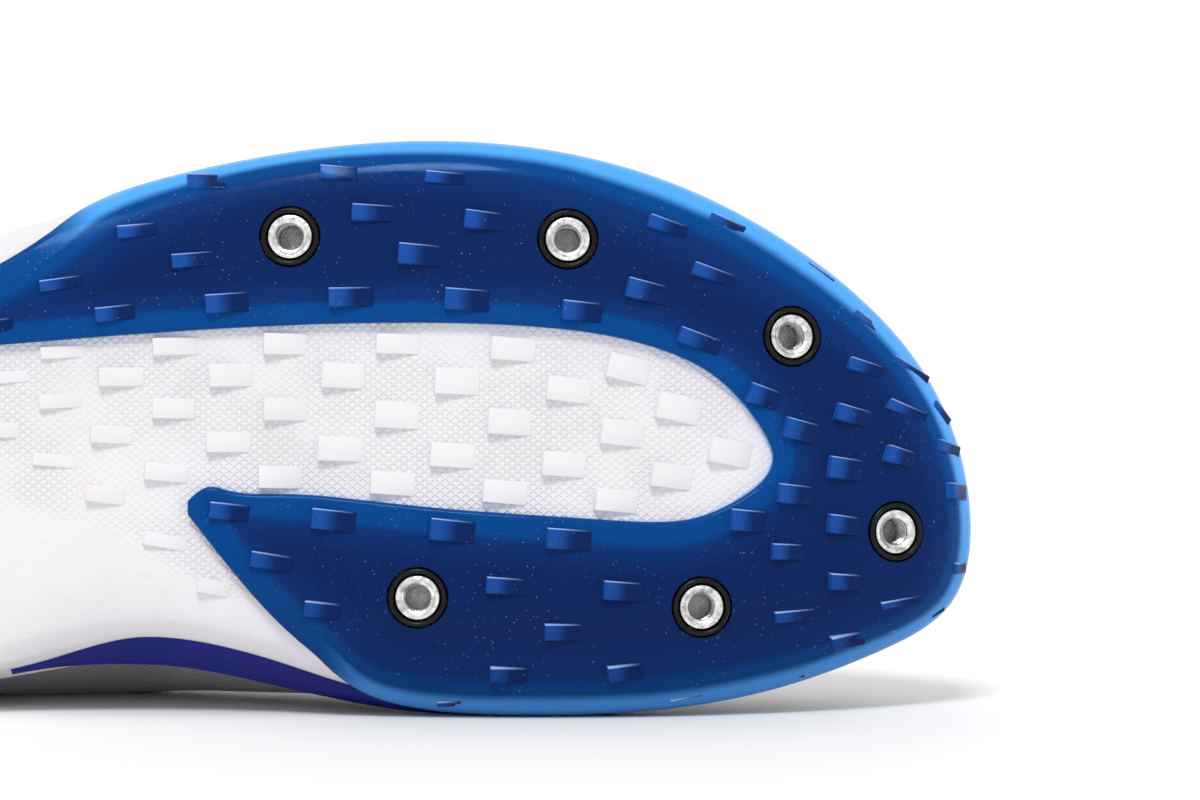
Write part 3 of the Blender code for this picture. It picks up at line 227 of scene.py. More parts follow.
# Wedge lugs on the plate
# Columns: x, y, length, width, turn
PLATE_LUGS = (
    (112.2, -34.9, 7.3, 2.3, -7),
    (124.1, -42.2, 7.9, 2.1, -8),
    (133.5, -37.1, 7.2, 2.8, -6),
    (137.4, -51.0, 7.3, 2.3, -7),
    (147.2, -46.3, 7.8, 2.6, -5),
    (149.5, -58.9, 7.0, 2.2, -4),
    (153.1, -38.9, 7.8, 3.6, -4),
    (153.5, -2.6, 7.2, 3.1, 6),
    (160.9, 6.1, 7.7, 3.0, 9),
    (169.8, 14.3, 6.7, 2.8, 7),
    (171.7, -1.1, 8.0, 3.8, 6),
    (172.5, -60.8, 6.8, 2.2, 1),
    (174.7, -39.9, 8.0, 3.6, -1),
    (178.7, -54.2, 8.0, 3.0, 2),
    (186.6, -47.2, 7.7, 3.8, 5),
    (191.0, -60.1, 7.3, 2.2, 4),
    (192.3, 0.7, 8.0, 4.0, 6),
    (194.8, -39.4, 8.0, 4.0, 4),
    (197.7, -52.9, 7.0, 3.3, 6),
    (201.5, 10.3, 7.1, 3.1, 4),
    (202.0, 25.2, 6.8, 2.8, 3),
    (211.5, 18.1, 7.1, 3.0, 1),
    (212.3, 2.2, 8.0, 3.8, 4),
    (214.6, -37.4, 7.2, 3.6, 6),
    (221.6, 11.2, 7.1, 3.5, 4),
    (222.0, 24.8, 6.4, 2.8, -5),
    (225.6, -40.9, 7.2, 3.6, 14),
    (229.2, -51.8, 7.3, 2.4, 18),
    (234.8, -32.3, 8.0, 3.0, 20),
    (237.2, -43.6, 8.0, 2.4, 19),
    (243.2, -1.0, 6.6, 4.0, 5),
    (245.8, -22.7, 5.9, 3.6, 19),
    (250.0, 4.4, 5.9, 3.0, 2),
    (251.3, -5.6, 6.6, 3.6, 6),
    (251.4, 15.3, 7.7, 2.1, -5),
    (252.4, -16.7, 6.6, 3.8, 14),
    (259.7, -0.3, 5.9, 3.5, 7),
    (260.0, 9.6, 6.1, 3.0, 3),
    (260.1, -10.1, 6.5, 4.0, 8),
    (260.4, 19.2, 6.2, 2.1, -11),
    (261.4, -19.4, 6.7, 3.1, 15),
    (263.5, -27.6, 6.7, 2.3, 17),
    (264.6, -34.6, 8.0, 1.7, 33),
    (269.4, -12.2, 5.6, 3.1, 16),
    (269.8, 12.9, 7.4, 1.4, -11),
    (270.7, -20.1, 7.5, 1.9, 23),
    (271.3, -27.1, 7.7, 1.9, 28),
)

# Low lugs on the plate's rolled rim, in the same columns
RIM_LUGS = (
    (191.7, 29.5, 4.5, 1.4, -4),
    (232.6, 29.0, 6.1, 1.7, -7),
    (239.3, -51.9, 6.8, 1.4, 24),
    (251.2, 25.7, 3.7, 1.2, -8),
    (255.8, -44.1, 5.5, 1.0, 35),
    (276.6, 15.0, 2.9, 1.4, -17),
    (277.1, -20.0, 4.8, 1.9, 44),
    (280.1, 7.2, 3.3, 2.1, 3),
    (279.4, -6.0, 4.0, 3.1, 7),
    (278.0, -13.5, 4.7, 2.4, 17),
)

# Wedge lugs on the white foam of the forefoot
# Columns: x, y, length, width, turn
WHITE_LUGS = (
    (113.5, -16.9, 6.6, 3.0, 3),
    (114.4, -26.0, 7.7, 2.3, -4),
    (122.9, -11.5, 8.0, 2.4, 6),
    (123.8, -21.9, 7.6, 2.8, -3),
    (124.1, -30.4, 7.8, 2.4, -3),
    (131.7, -5.5, 7.0, 3.1, 7),
    (132.8, -16.0, 7.6, 3.3, 3),
    (134.4, -26.1, 8.0, 3.6, 0),
    (142.1, 2.5, 7.8, 2.6, 10),
    (142.4, -9.4, 7.9, 3.3, 6),
    (143.6, -20.6, 7.6, 3.8, 1),
    (143.8, -31.4, 8.0, 3.3, -1),
    (150.6, 10.5, 6.0, 2.8, 12),
    (153.1, -14.7, 7.8, 3.8, 0),
    (153.6, -26.4, 7.8, 4.3, -1),
    (162.2, -8.6, 7.8, 4.2, 1),
    (163.0, -31.8, 7.6, 4.0, 1),
    (163.0, -20.4, 7.6, 4.2, 1),
    (172.6, -13.5, 8.0, 4.5, 2),
    (173.1, -26.3, 7.6, 4.7, 3),
    (181.8, -7.5, 8.0, 4.3, 4),
    (182.5, -19.4, 7.8, 4.9, 3),
    (182.7, -31.8, 7.8, 3.8, 1),
    (192.2, -12.4, 8.0, 4.5, 4),
    (193.0, -25.3, 8.0, 4.9, 2),
    (201.3, -6.0, 8.0, 4.3, 5),
    (202.1, -18.2, 7.8, 4.7, 4),
    (202.7, -30.9, 8.0, 4.3, 4),
    (211.5, -10.8, 7.8, 4.5, 4),
    (212.4, -23.8, 8.0, 4.5, 7),
    (220.6, -4.5, 7.7, 4.2, 5),
    (221.6, -16.3, 7.7, 4.7, 6),
    (222.7, -27.5, 7.7, 4.7, 13),
    (230.2, -8.8, 7.5, 4.5, 7),
    (231.5, -20.6, 8.0, 4.9, 12),
    (240.4, -12.9, 7.6, 4.7, 11),
)

# The courses go on over the waist and the heel
HEEL_FIRST = 104.0
HEEL_MIDDLE = (-21.7, -3.2)
HEEL_COLUMNS = 9
HEEL_COLUMN_STEP = 10.6
HEEL_ROW_STEP = 9.6
HEEL_ROWS = 3
HEEL_LUG = (7.6, 3.6)
HEEL_LUG_MARGIN = 1.5
HEEL_LUG_FROM_RIM = 8.5

# Heights of the lugs, the wedge that they are copied from, and the map's mark of a lug on the plate
PLATE_LUG_HEIGHT = 1.5
WHITE_LUG_HEIGHT = 1.6
FULL_HEIGHT_WIDTH = 3.2
LUG_SINK = 0.6
LUG_TIP = 0.15
LUG_DRAFT = 0.3
LUG_LEAN = 0.35
LUG_BEVEL = 0.22
LUG_PATTERN = (7.5, 3.6, 1.5)
LUG_MARK = 20.0
LUG_BASE = np.array(((-0.5, -0.5), (0.5, -0.5), (0.5, 0.5), (-0.5, 0.5), (0.0, 0.0)))

# Where the texture of the tread ends: towards the arch, as points of the sole, towards the rim, and above
# The fades are as (start, width)
SMOOTH_ARCH = ((60.0, 12.0), (113.7, -5.0), (131.0, -0.5), (148.4, 9.0), (158.8, 13.5))
ARCH_FRONT = 172.0
ARCH_FADE = (-2.0, 5.0)
RIM_FADE = (4.0, 5.0)
TREAD_DEEP = 5.0

# The foam's rings: insets from the widest line under the sole, heights on its wall, insets on the footbed
FLAT_INSET = 19.0
TREAD_INSETS = (19, 16.5, 14, 12, 10, 8.2, 6.6, 5.2, 4.0, 3.0, 2.2, 1.5, 0.9, 0.4, 0.12, 0.0)
WALL_HEIGHTS = (0.04, 0.1, 0.18, 0.28, 0.4, 0.52, 0.64, 0.76, 0.86, 0.94, 0.98)
LIP_ROUND = 0.2
BED_INSETS = (1.0, 4.0, 9.0, 15.0)

# Ribbed side band between the widest line and the lip
BAND_FROM = "medial waist rear"
BAND_TO = "lateral waist front"
BAND_BACK = 0.35
BAND_THICK = 1.2
BAND_LOW = 0.24
BAND_TOP = 0.92
BAND_ARCH_DROP = 0.2
BAND_FADE = 0.07

# Throat, eyelets, tongue and laces
EYESTAY_WIDTH = 11.0
EYELET_INSET = 5.5
EYELET_RADIUS = 1.7
EYELET_REACH = (-6.0, 4.0)
EYELET_PLACES = (186.0, 176.0, 166.0, 156.0, 146.0, 136.0)
LACE_LIFT = 2.4
LACE_BEND = 0.4
LACE_HUMP = 0.5
CROSSING_RISE = 2.2
OVER_RISE = 0.9
FIRST_STRAND = (-8.0, 0.0, 2.6)
THROAT_FACE = (-0.35, 0.0, 0.94)
THROAT_DIP = 1.6
THROAT_SHIFT = (2.0, 0.0, 0.6)
TONGUE_THICK = 2.6
TONGUE_UNDER = 9.0
TONGUE_PAIRS = (180.0, 168.0, 156.0, 144.0, 134.0, 124.0)
TONGUE_TOP = ((112.0, 88.5, 12.5), (100.0, 95.5, 15.0), (96.5, 96.5, 14.0))
TONGUE_MIDDLE = -7.5
TONGUE_LOOPS = 90
TONGUE_COLUMNS = 41

# The tongue's front rows under the throat
# Columns: x on its lateral side, x on its medial side, distances from its edge
TONGUE_FRONT = (
    ((193.0, 196.0, 197.6), (199.0, 197.6, 196.0, 193.0), (TONGUE_UNDER,) * 7),
    ((187.0, 191.0, 195.0), (199.0, 195.0, 191.0, 187.0), (TONGUE_UNDER, 1, 1, 1, 1, 1, TONGUE_UNDER)),
)

# Films on the upper: how far off it their back and face are, and where the heel counter runs
OVERLAY_BACK = 0.05
OVERLAY_FACE = 1.1
OVERLAY_ROUND = 0.3
COUNTER_LOW = 0.13
COUNTER_TOP = 0.62
COUNTER_FALL = 0.34

# Flex creases over the ball of the foot
# Columns: x, slope, depth, width
CREASES = (
    (214.0, 0.12, 0.5, 2.6),
    (222.5, -0.06, 0.35, 2.0),
    (205.5, 0.22, 0.4, 2.4),
)
CREASE_MIDDLE = -17.0
CREASE_FOOT = 36.0
CREASE_FADE = 12.0

# The upper's middle, which its lining looks at: x and y along the shoe, its ends and its height
MIDDLE_X = (0, 100, 200, 283)
MIDDLE_Y = (0.0, -5.0, -15.0, -12.0)
MIDDLE_ENDS = (30, 240)
MIDDLE_HEIGHT = 32.0

# The insole's section as shares of its half width and heights over its own underside
INSOLE_RINGS = (
    (0.0, 0.0),
    (0.7, 0.0),
    (0.97, 0.0),
    (1.0, 0.5),
    (1.0, INSOLE_THICK - 0.6),
    (0.985, INSOLE_THICK - 0.15),
    (0.95, INSOLE_THICK),
    (0.85, INSOLE_THICK - 0.1),
    (0.65, INSOLE_THICK - 0.25),
    (0.4, INSOLE_THICK - 0.3),
    (0.0, INSOLE_THICK - 0.3),
)

# The studio in metres: its floor, the wall that the floor curves up into, and the way that the sun shines
FLOOR_HALF = 14.0
FLOOR_FRONT = -12.0
FLOOR_BACK = 3.0
CURVE_RADIUS = 1.5
ROOM_HEIGHT = 4.0
SUN_WAY = (0.09, 0.57, -0.8)

# The point of the shoe that the camera looks at
LOOK_AT = (217.9, -22.0, -1.0)

# A wave texture at scale 1 repeats after this length
WAVE_LENGTH = 0.314


def spline_through(knots, rows, closed=False):
    """A smooth curve through rows of values, as a function of the place along it."""
    knots = np.asarray(knots, float)
    rows = np.asarray(rows, float)
    gaps = np.diff(knots)
    slopes = np.diff(rows, axis=0) / gaps[:, None]
    count = len(gaps) if closed else len(knots)
    system = np.eye(count)
    right = np.zeros((count, rows.shape[1]))
    for i in range(0 if closed else 1, count if closed else count - 1):
        before, after = gaps[i - 1], gaps[i]
        system[i, i] = 2 * (before + after)
        system[i, i - 1] = before
        system[i, (i + 1) % count] = after
        right[i] = 6 * (slopes[i] - slopes[i - 1])
    bends = np.linalg.solve(system, right)
    if closed:
        bends = np.vstack([bends, bends[:1]])

    def read(place):
        place = np.asarray(place, float)
        if closed:
            place = np.mod(place, knots[-1])
        i = np.clip(np.searchsorted(knots, place, "right") - 1, 0, len(gaps) - 1)
        gap = gaps[i][..., None]
        past = (place - knots[i])[..., None]
        left = gap - past
        bent = (bends[i] * left**3 + bends[i + 1] * past**3) / (6 * gap)
        straight = (rows[i] / gap - bends[i] * gap / 6) * left
        return bent + straight + (rows[i + 1] / gap - bends[i + 1] * gap / 6) * past

    return read


def chord_knots(points):
    """Places of the points along the line through them, from 0 to 1."""
    steps = np.linalg.norm(np.diff(points, axis=0), axis=1)
    return np.concatenate([[0.0], np.cumsum(steps)]) / steps.sum()


def closed_table(table):
    """A table's rows, with the first one again at the end."""
    rows = np.array(list(table.values()), float)
    return np.vstack([rows, rows[:1]])


EDGE_KNOTS = chord_knots(closed_table(SOLE_EDGE)[:, :2])
PLACE_OF = dict(zip(SOLE_EDGE, EDGE_KNOTS))
edge = spline_through(EDGE_KNOTS, closed_table(SOLE_EDGE), closed=True)
opening = spline_through(EDGE_KNOTS, closed_table(UPPER), closed=True)
profile = spline_through([row[0] for row in PROFILE], np.array(PROFILE, float)[:, 1:])
DENSE_PLACES = np.arange(720) / 720
DENSE_EDGE = edge(DENSE_PLACES)


def smooth_step(value):
    """A soft step from 0 to 1."""
    value = np.clip(value, 0.0, 1.0)
    return value * value * (3 - 2 * value)


def plan_normal(place):
    """The direction that points straight out of the sole's edge, seen from above."""
    step = 2e-4
    along = edge(place + step)[..., :2] - edge(place - step)[..., :2]
    along /= np.linalg.norm(along, axis=-1, keepdims=True)
    return np.stack([along[..., 1], -along[..., 0]], axis=-1)


def edge_distance(points):
    """How far plan points lie inboard of the sole's edge, and the nearest stretch of the edge."""
    starts = DENSE_EDGE[:, :2]
    along = np.roll(starts, -1, axis=0) - starts
    inboard, nearest = np.zeros(len(points)), np.zeros(len(points), int)
    for first in range(0, len(points), 4000):
        part = slice(first, first + 4000)
        away = points[part, None] - starts[None]
        share = np.clip((away * along).sum(-1) / (along * along).sum(-1), 0, 1)
        gap = away - share[..., None] * along
        distance = np.hypot(gap[..., 0], gap[..., 1])
        near = distance.argmin(axis=1)
        row = np.arange(len(near))
        inside = along[near, 0] * away[row, near, 1] > along[near, 1] * away[row, near, 0]
        inboard[part] = np.where(inside, distance[row, near], 0.0)
        nearest[part] = near
    return inboard, nearest


def tread_height(points):
    """Height of the sole's underside at plan points, rolled up towards its edge."""
    points = np.asarray(points, float)
    inboard, nearest = edge_distance(points)
    up, roll = DENSE_EDGE[nearest, 2], DENSE_EDGE[nearest, 3]
    shoulder = 0.6 * np.clip(1 - inboard / roll, 0, 1) ** 2.4
    corner = 0.4 * np.clip(1 - inboard / 3.5, 0, 1) ** 2
    return profile(points[:, 0])[:, 0] + up * (shoulder + corner)


def tread_point(points, out=0.0):
    """Points on the underside, or out millimetres off it, and the direction that points out of it."""
    points = np.asarray(points, float)
    step = 0.2
    slopes = [
        (tread_height(points + shift) - tread_height(points - shift)) / (2 * step)
        for shift in (np.array([step, 0.0]), np.array([0.0, step]))
    ]
    outward = np.stack([slopes[0], slopes[1], -np.ones(len(points))], axis=-1)
    outward /= np.linalg.norm(outward, axis=-1, keepdims=True)
    surface = np.column_stack([points, tread_height(points)])
    return surface + outward * np.broadcast_to(out, (len(points),))[:, None], outward


def wall_point(place, height, out):
    """A point on the sole's side wall: height 0 is its widest line and 1 the top of its lip."""
    here = edge(place)
    normal = plan_normal(place)
    low = tread_height(here[..., :2])
    high = profile(here[..., 0])[..., 1] + here[..., 5]
    plan = here[..., :2] + normal * (here[..., 4] * height + out)[..., None]
    return np.column_stack([plan, low + (high - low) * height])


def bed_point(place, inset, above):
    """A point inside the lip, inset from the side wall at the footbed's height, and above the footbed."""
    here = edge(place)
    low, bed = tread_height(here[:, :2]), profile(here[:, 0])[:, 1]
    share = (bed - low) / (bed + here[:, 5] - low)
    plan = here[:, :2] + plan_normal(place) * (here[:, 4] * share - inset)[:, None]
    return np.column_stack([plan, bed + above])


def paired_places(sections):
    """Places round the edge, toe first, where each medial place has a lateral one at the same x."""
    toe, heel = DENSE_EDGE[:, 0].argmax(), DENSE_EDGE[:, 0].argmin()
    toe -= len(DENSE_EDGE) if toe > heel else 0
    reach = 0.5 * (1 + np.cos(np.pi * np.arange(sections + 1) / sections))
    longest, shortest = DENSE_EDGE[toe, 0], DENSE_EDGE[heel, 0]
    wanted = shortest + (longest - shortest) * reach
    medial = np.arange(heel, toe - 1, -1)
    lateral = np.arange(heel, toe + len(DENSE_EDGE) + 1)
    halves = []
    for half in (medial, lateral):
        xs = DENSE_EDGE[half % len(DENSE_EDGE), 0]
        halves.append(np.interp(wanted, np.maximum.accumulate(xs), half / len(DENSE_EDGE)))
    return np.concatenate([halves[0], halves[1][-2:0:-1]])


def section_places(count):
    """Places round the edge that end where they start, and the middle line that their sections run to."""
    places = paired_places(count)
    spine = spine_of(places)
    return np.append(places, places[0] + 1), np.vstack([spine, spine[:1]])


def spine_of(places):
    """The line down the middle of the sole that each section's two sides run to."""
    here = edge(places)
    x = SPINE_END + (SHOE_LENGTH - 2 * SPINE_END) * here[:, 0] / SHOE_LENGTH
    partner = (-np.arange(len(places))) % len(places)
    x = 0.5 * (x + x[partner])
    first = slice(0, len(places) // 2 + 1)
    middle = 0.5 * (here[:, 1] + here[partner, 1])
    y = np.interp(x, here[first, 0][::-1], middle[first][::-1])
    return np.column_stack([x, y])


def upper_point(place, share):
    """A point on the upper's outer face: share 0 is at the sole and 1 at the opening."""
    place, share = np.broadcast_arrays(np.asarray(place, float), np.asarray(share, float))
    shape = place.shape
    place, share = place.ravel(), share.ravel()
    edge_row = opening(place)
    normal = np.column_stack([plan_normal(place), np.zeros(len(place))])
    upright = np.array([0.0, 0.0, 1.0])
    start = bed_point(place, SEAT_INSET, GAP)
    end = edge_row[:, :3]
    first = start + normal * edge_row[:, 3:4] + upright * edge_row[:, 4:5]
    second = end + normal * edge_row[:, 5:6] - upright * edge_row[:, 6:7]
    t = share[:, None]
    left = 1 - t
    curve = left**3 * start + 3 * left**2 * t * first + 3 * left * t**2 * second + t**3 * end
    return curve.reshape(shape + (3,))


def upper_skin(place, share, lift):
    """A point lift millimetres off the upper's outer face."""
    place, share = np.broadcast_arrays(np.asarray(place, float), np.asarray(share, float))
    step = 1e-3
    round_ = upper_point(place + step, share) - upper_point(place - step, share)
    low, high = np.clip(share - step, 0, 1), np.clip(share + step, 0, 1)
    up = upper_point(place, high) - upper_point(place, low)
    normal = np.cross(round_, up)
    normal /= np.linalg.norm(normal, axis=-1, keepdims=True)
    return upper_point(place, share) + normal * np.asarray(lift, float)[..., None]


def wall_thickness(place, share):
    """How thick the upper is: its collar is padded."""
    edge_wall = opening(place)[..., 7]
    return WALL + (np.maximum(edge_wall, WALL) - WALL) * smooth_step((share - 0.45) / 0.45)


def share_from_edge(place, distance):
    """How far up the upper a point lies that is this distance from the opening."""
    row = opening(place)
    return 1 - distance / (3 * np.hypot(row[..., 5], row[..., 6]))


def throat_place(x, side):
    """The place round the edge whose opening point is at x, on the medial or lateral side."""
    if side == "medial":
        places = np.linspace(0, PLACE_OF["medial waist rear"], 300)
    else:
        places = np.linspace(1, PLACE_OF["lateral waist"], 300)
    return np.interp(-x, -opening(places)[:, 0], places)


def inside(polygon, points):
    """Which plan points lie in a polygon."""
    ahead = np.roll(polygon, -1, axis=0)
    rise = ahead[:, 1] - polygon[:, 1]
    flat = np.where(rise == 0, 1, rise)
    x, y = points[:, :1], points[:, 1:2]
    spans = (polygon[:, 1] > y) != (ahead[:, 1] > y)
    crossing = polygon[:, 0] + (ahead[:, 0] - polygon[:, 0]) * (y - polygon[:, 1]) / flat
    return (spans & (x < crossing)).sum(axis=1) % 2 == 1


def distance_to(polygon, points):
    """How far plan points are from a polygon's border."""
    along = np.roll(polygon, -1, axis=0) - polygon
    away = points[:, None] - polygon[None]
    length = np.maximum((along * along).sum(-1), 1e-9)
    share = np.clip((away * along).sum(-1) / length, 0, 1)
    return np.linalg.norm(away - share[..., None] * along, axis=2).min(axis=1)


def lay(points):
    """Points of the shoe's own axes, in millimetres, as it lies on the floor of the frame, in metres."""
    placed = np.asarray(points, float) @ TURN.T * 0.001 + SHIFT
    placed[..., 2] = np.maximum(placed[..., 2], 0.0)
    return placed


# Modelling steps that several pieces share


def deselect():
    if bpy.context.object and bpy.context.object.mode != "OBJECT":
        bpy.ops.object.mode_set(mode="OBJECT")
    bpy.ops.object.select_all(action="DESELECT")


def pick(*pieces):
    """Selects the pieces, the last one active."""
    deselect()
    for piece in pieces:
        piece.select_set(True)
    bpy.context.view_layer.objects.active = pieces[-1]


def edit_all(piece):
    """Enters edit mode on a piece with everything selected."""
    pick(piece)
    bpy.ops.object.mode_set(mode="EDIT")
    bpy.ops.mesh.select_mode(type="VERT")
    bpy.ops.mesh.select_all(action="SELECT")


def close_up(piece):
    """Merges the seams of a body, fills its open ends and turns its faces outwards."""
    edit_all(piece)
    bpy.ops.mesh.remove_doubles(threshold=2e-6)
    bpy.ops.mesh.dissolve_degenerate(threshold=1e-7)
    bpy.ops.mesh.select_all(action="SELECT")
    bpy.ops.mesh.fill_holes(sides=0)
    bpy.ops.mesh.select_all(action="SELECT")
    bpy.ops.mesh.normals_make_consistent(inside=False)
    bpy.ops.object.mode_set(mode="OBJECT")


def lengths_of(points):
    """For a grid of points: the mean length along its columns, and each column's own down its rows."""
    across = np.linalg.norm(np.diff(points, axis=1), axis=2).mean(axis=0)
    down = np.linalg.norm(np.diff(points, axis=0), axis=2)
    u = np.concatenate([[0.0], np.cumsum(across)])
    v = np.vstack([np.zeros((1, points.shape[1])), np.cumsum(down, axis=0)])
    return np.stack([np.broadcast_to(u, points.shape[:2]), v], axis=-1)


def unwrap(mesh, uv):
    """Gives each vertex its place on the map."""
    layer = mesh.uv_layers[0] if mesh.uv_layers else mesh.uv_layers.new(name="UVMap")
    corner = np.zeros(len(mesh.loops), int)
    mesh.loops.foreach_get("vertex_index", corner)
    layer.uv.foreach_set("vector", uv.reshape(-1, 2)[corner].reshape(-1))


def laid_grid(name, points, uv=None):
    """A grid primitive laid on rows of points in millimetres, with its map in metres along the surface."""
    rows, columns = points.shape[:2]
    deselect()
    bpy.ops.mesh.primitive_grid_add(x_subdivisions=columns - 1, y_subdivisions=rows - 1, size=1.0)
    piece = bpy.context.object
    piece.name = name
    mesh = piece.data
    mesh.name = name
    mesh.vertices.foreach_set("co", lay(points).reshape(-1))
    unwrap(mesh, lengths_of(points) * 0.001 if uv is None else uv)
    mesh.update()
    close_up(piece)
    return piece


def apply_step(piece, kind, **settings):
    """Adds a modifier, sets it and applies it."""
    pick(piece)
    step = piece.modifiers.new(kind.title(), kind)
    for key, value in settings.items():
        setattr(step, key, value)
    bpy.ops.object.modifier_apply(modifier=step.name)


def soften(piece, width):
    """Rounds the sharp borders of a piece."""
    apply_step(
        piece,
        "BEVEL",
        width=width * 0.001,
        segments=2,
        limit_method="ANGLE",
        angle_limit=math.radians(40.0),
        use_clamp_overlap=True,
    )


def shade(piece, angle):
    """Shades a piece smooth, apart from edges that are sharper than the angle."""
    pick(piece)
    bpy.ops.object.shade_smooth_by_angle(angle=math.radians(angle), keep_sharp_edges=False)


def joined(name, pieces):
    """One piece of several."""
    pick(*pieces)
    if len(pieces) > 1:
        bpy.ops.object.join()
    piece = bpy.context.object
    piece.name = name
    piece.data.name = name
    return piece


def cut(piece, cutters):
    """Cuts the cutters out of a piece."""
    tool = joined("cutter", cutters)
    apply_step(piece, "BOOLEAN", operation="DIFFERENCE", object=tool, solver="EXACT")
    bpy.data.objects.remove(tool, do_unlink=True)


def stood(point, axis):
    """A place in metres whose z axis points along an axis."""
    turn = axis.to_track_quat("Z", "Y").to_matrix().to_4x4()
    return Matrix.Translation(Vector(point.tolist())) @ turn


def bored(place, radius, depth, sides):
    """A cylinder in metres at a place, to cut a round hole with."""
    deselect()
    bpy.ops.mesh.primitive_cylinder_add(vertices=sides, radius=radius, depth=depth)
    cutter = bpy.context.object
    cutter.data.transform(place)
    return cutter


def copy_of(piece, name):
    twin = piece.copy()
    twin.data = piece.data.copy()
    twin.name = name
    bpy.context.scene.collection.objects.link(twin)
    return twin


def mesh_points(piece):
    points = np.zeros(len(piece.data.vertices) * 3)
    piece.data.vertices.foreach_get("co", points)
    return points.reshape(-1, 3)


def tiled(name, pattern, clouds, maps=None):
    """Copies of one modelled pattern as one mesh: each cloud holds the places of a copy's vertices."""
    mesh = pattern.data
    faces = [tuple(face.vertices) for face in mesh.polygons]
    count = len(mesh.vertices)
    vertices = np.vstack(clouds)
    all_faces = [tuple(i + k * count for i in face) for k in range(len(clouds)) for face in faces]
    made = bpy.data.meshes.new(name)
    made.from_pydata(vertices.tolist(), [], all_faces)
    if maps is not None:
        unwrap(made, np.vstack(maps))
    piece = bpy.data.objects.new(name, made)
    bpy.context.scene.collection.objects.link(piece)
    bpy.data.objects.remove(pattern, do_unlink=True)
    return piece


def dress(piece, finish, slot, *nodes):
    """Gives a piece its material and its body, and hides the CAD nodes that it stands for."""
    if finish is not None:
        piece.data.materials.clear()
        piece.data.materials.append(finish)
    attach(piece, "root")
    if nodes:
        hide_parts(*nodes)
    return piece


def paint(piece, name, values):
    """Stores one number for each vertex, for its material to read."""
    layer = piece.data.attributes.new(name, "FLOAT", "POINT")
    layer.data.foreach_set("value", np.asarray(values, float))


def own_axes(piece):
    """A piece's vertices on the shoe's own axes, in millimetres."""
    return (mesh_points(piece) - SHIFT) @ TURN * 1000


# Materials


def shaded(colour, share):
    """A colour with only a share of its light."""
    return tuple(share * part for part in colour)


class Recipe:
    """One material and short calls for its nodes."""

    def __init__(self, name, colour, roughness, **sockets):
        self.material = bpy.data.materials.new(name)
        self.material.use_nodes = True
        self.tree = self.material.node_tree
        self.shader = self.tree.nodes["Principled BSDF"]
        self.shader.inputs["Base Color"].default_value = (*colour[:3], 1.0)
        self.shader.inputs["Roughness"].default_value = roughness
        for key, value in sockets.items():
            self.shader.inputs[key.replace("_", " ")].default_value = value
        self.material.diffuse_color = (*colour[:3], 1.0)

    def node(self, kind, values=None, **settings):
        made = self.tree.nodes.new(kind)
        for key, value in settings.items():
            setattr(made, key, value)
        for key, value in (values or {}).items():
            if hasattr(value, "links"):
                self.tree.links.new(value, made.inputs[key])
            else:
                made.inputs[key].default_value = value
        return made

    def coords(self, kind="Object"):
        return self.node("ShaderNodeTexCoord").outputs[kind]

    def attribute(self, name):
        return self.node("ShaderNodeAttribute", attribute_name=name).outputs["Fac"]

    def placed(self, vector, turn=0.0, scale=(1.0, 1.0, 1.0)):
        values = {"Vector": vector, "Rotation": (0.0, 0.0, math.radians(turn)), "Scale": scale}
        return self.node("ShaderNodeMapping", values).outputs["Vector"]

    def noise(self, vector, scale, detail=3.0):
        values = {"Vector": vector, "Scale": scale, "Detail": detail, "Roughness": 0.55}
        return self.node("ShaderNodeTexNoise", values).outputs["Fac"]

    def wave(self, vector, scale, distortion=0.0):
        values = {"Vector": vector, "Scale": scale, "Distortion": distortion, "Detail": 1.0}
        bands = self.node("ShaderNodeTexWave", values, wave_type="BANDS", bands_direction="X")
        return bands.outputs["Fac"]

    def math(self, operation, a, b=0.0):
        return self.node("ShaderNodeMath", {0: a, 1: b}, operation=operation).outputs[0]

    def times(self, a, b):
        return self.math("MULTIPLY", a, b)

    def ramp(self, value, *stops):
        """Colours or greys at their places, softly blended."""
        made = self.node("ShaderNodeValToRGB", {"Fac": value})
        made.color_ramp.interpolation = "EASE"
        points = made.color_ramp.elements
        while len(points) < len(stops):
            points.new(1.0)
        for point, (place, colour) in zip(points, stops):
            point.position = place
            point.color = (*(colour if hasattr(colour, "__len__") else (colour,) * 3), 1.0)
        return made.outputs["Color"]

    def mix(self, share, a, b):
        made = self.node("ShaderNodeMix", data_type="RGBA")
        for key, value in ((0, share), (6, a), (7, b)):
            if hasattr(value, "links"):
                self.tree.links.new(value, made.inputs[key])
            elif key == 0:
                made.inputs[key].default_value = value
            else:
                made.inputs[key].default_value = (*value[:3], 1.0)
        return made.outputs[2]

    def bump(self, height, distance, under=None):
        """Relief of that depth in millimetres."""
        values = {"Height": height, "Distance": distance * 0.001, "Strength": 1.0}
        if under is not None:
            values["Normal"] = under
        return self.node("ShaderNodeBump", values).outputs["Normal"]

    def feed(self, socket, value):
        self.tree.links.new(value, self.shader.inputs[socket])


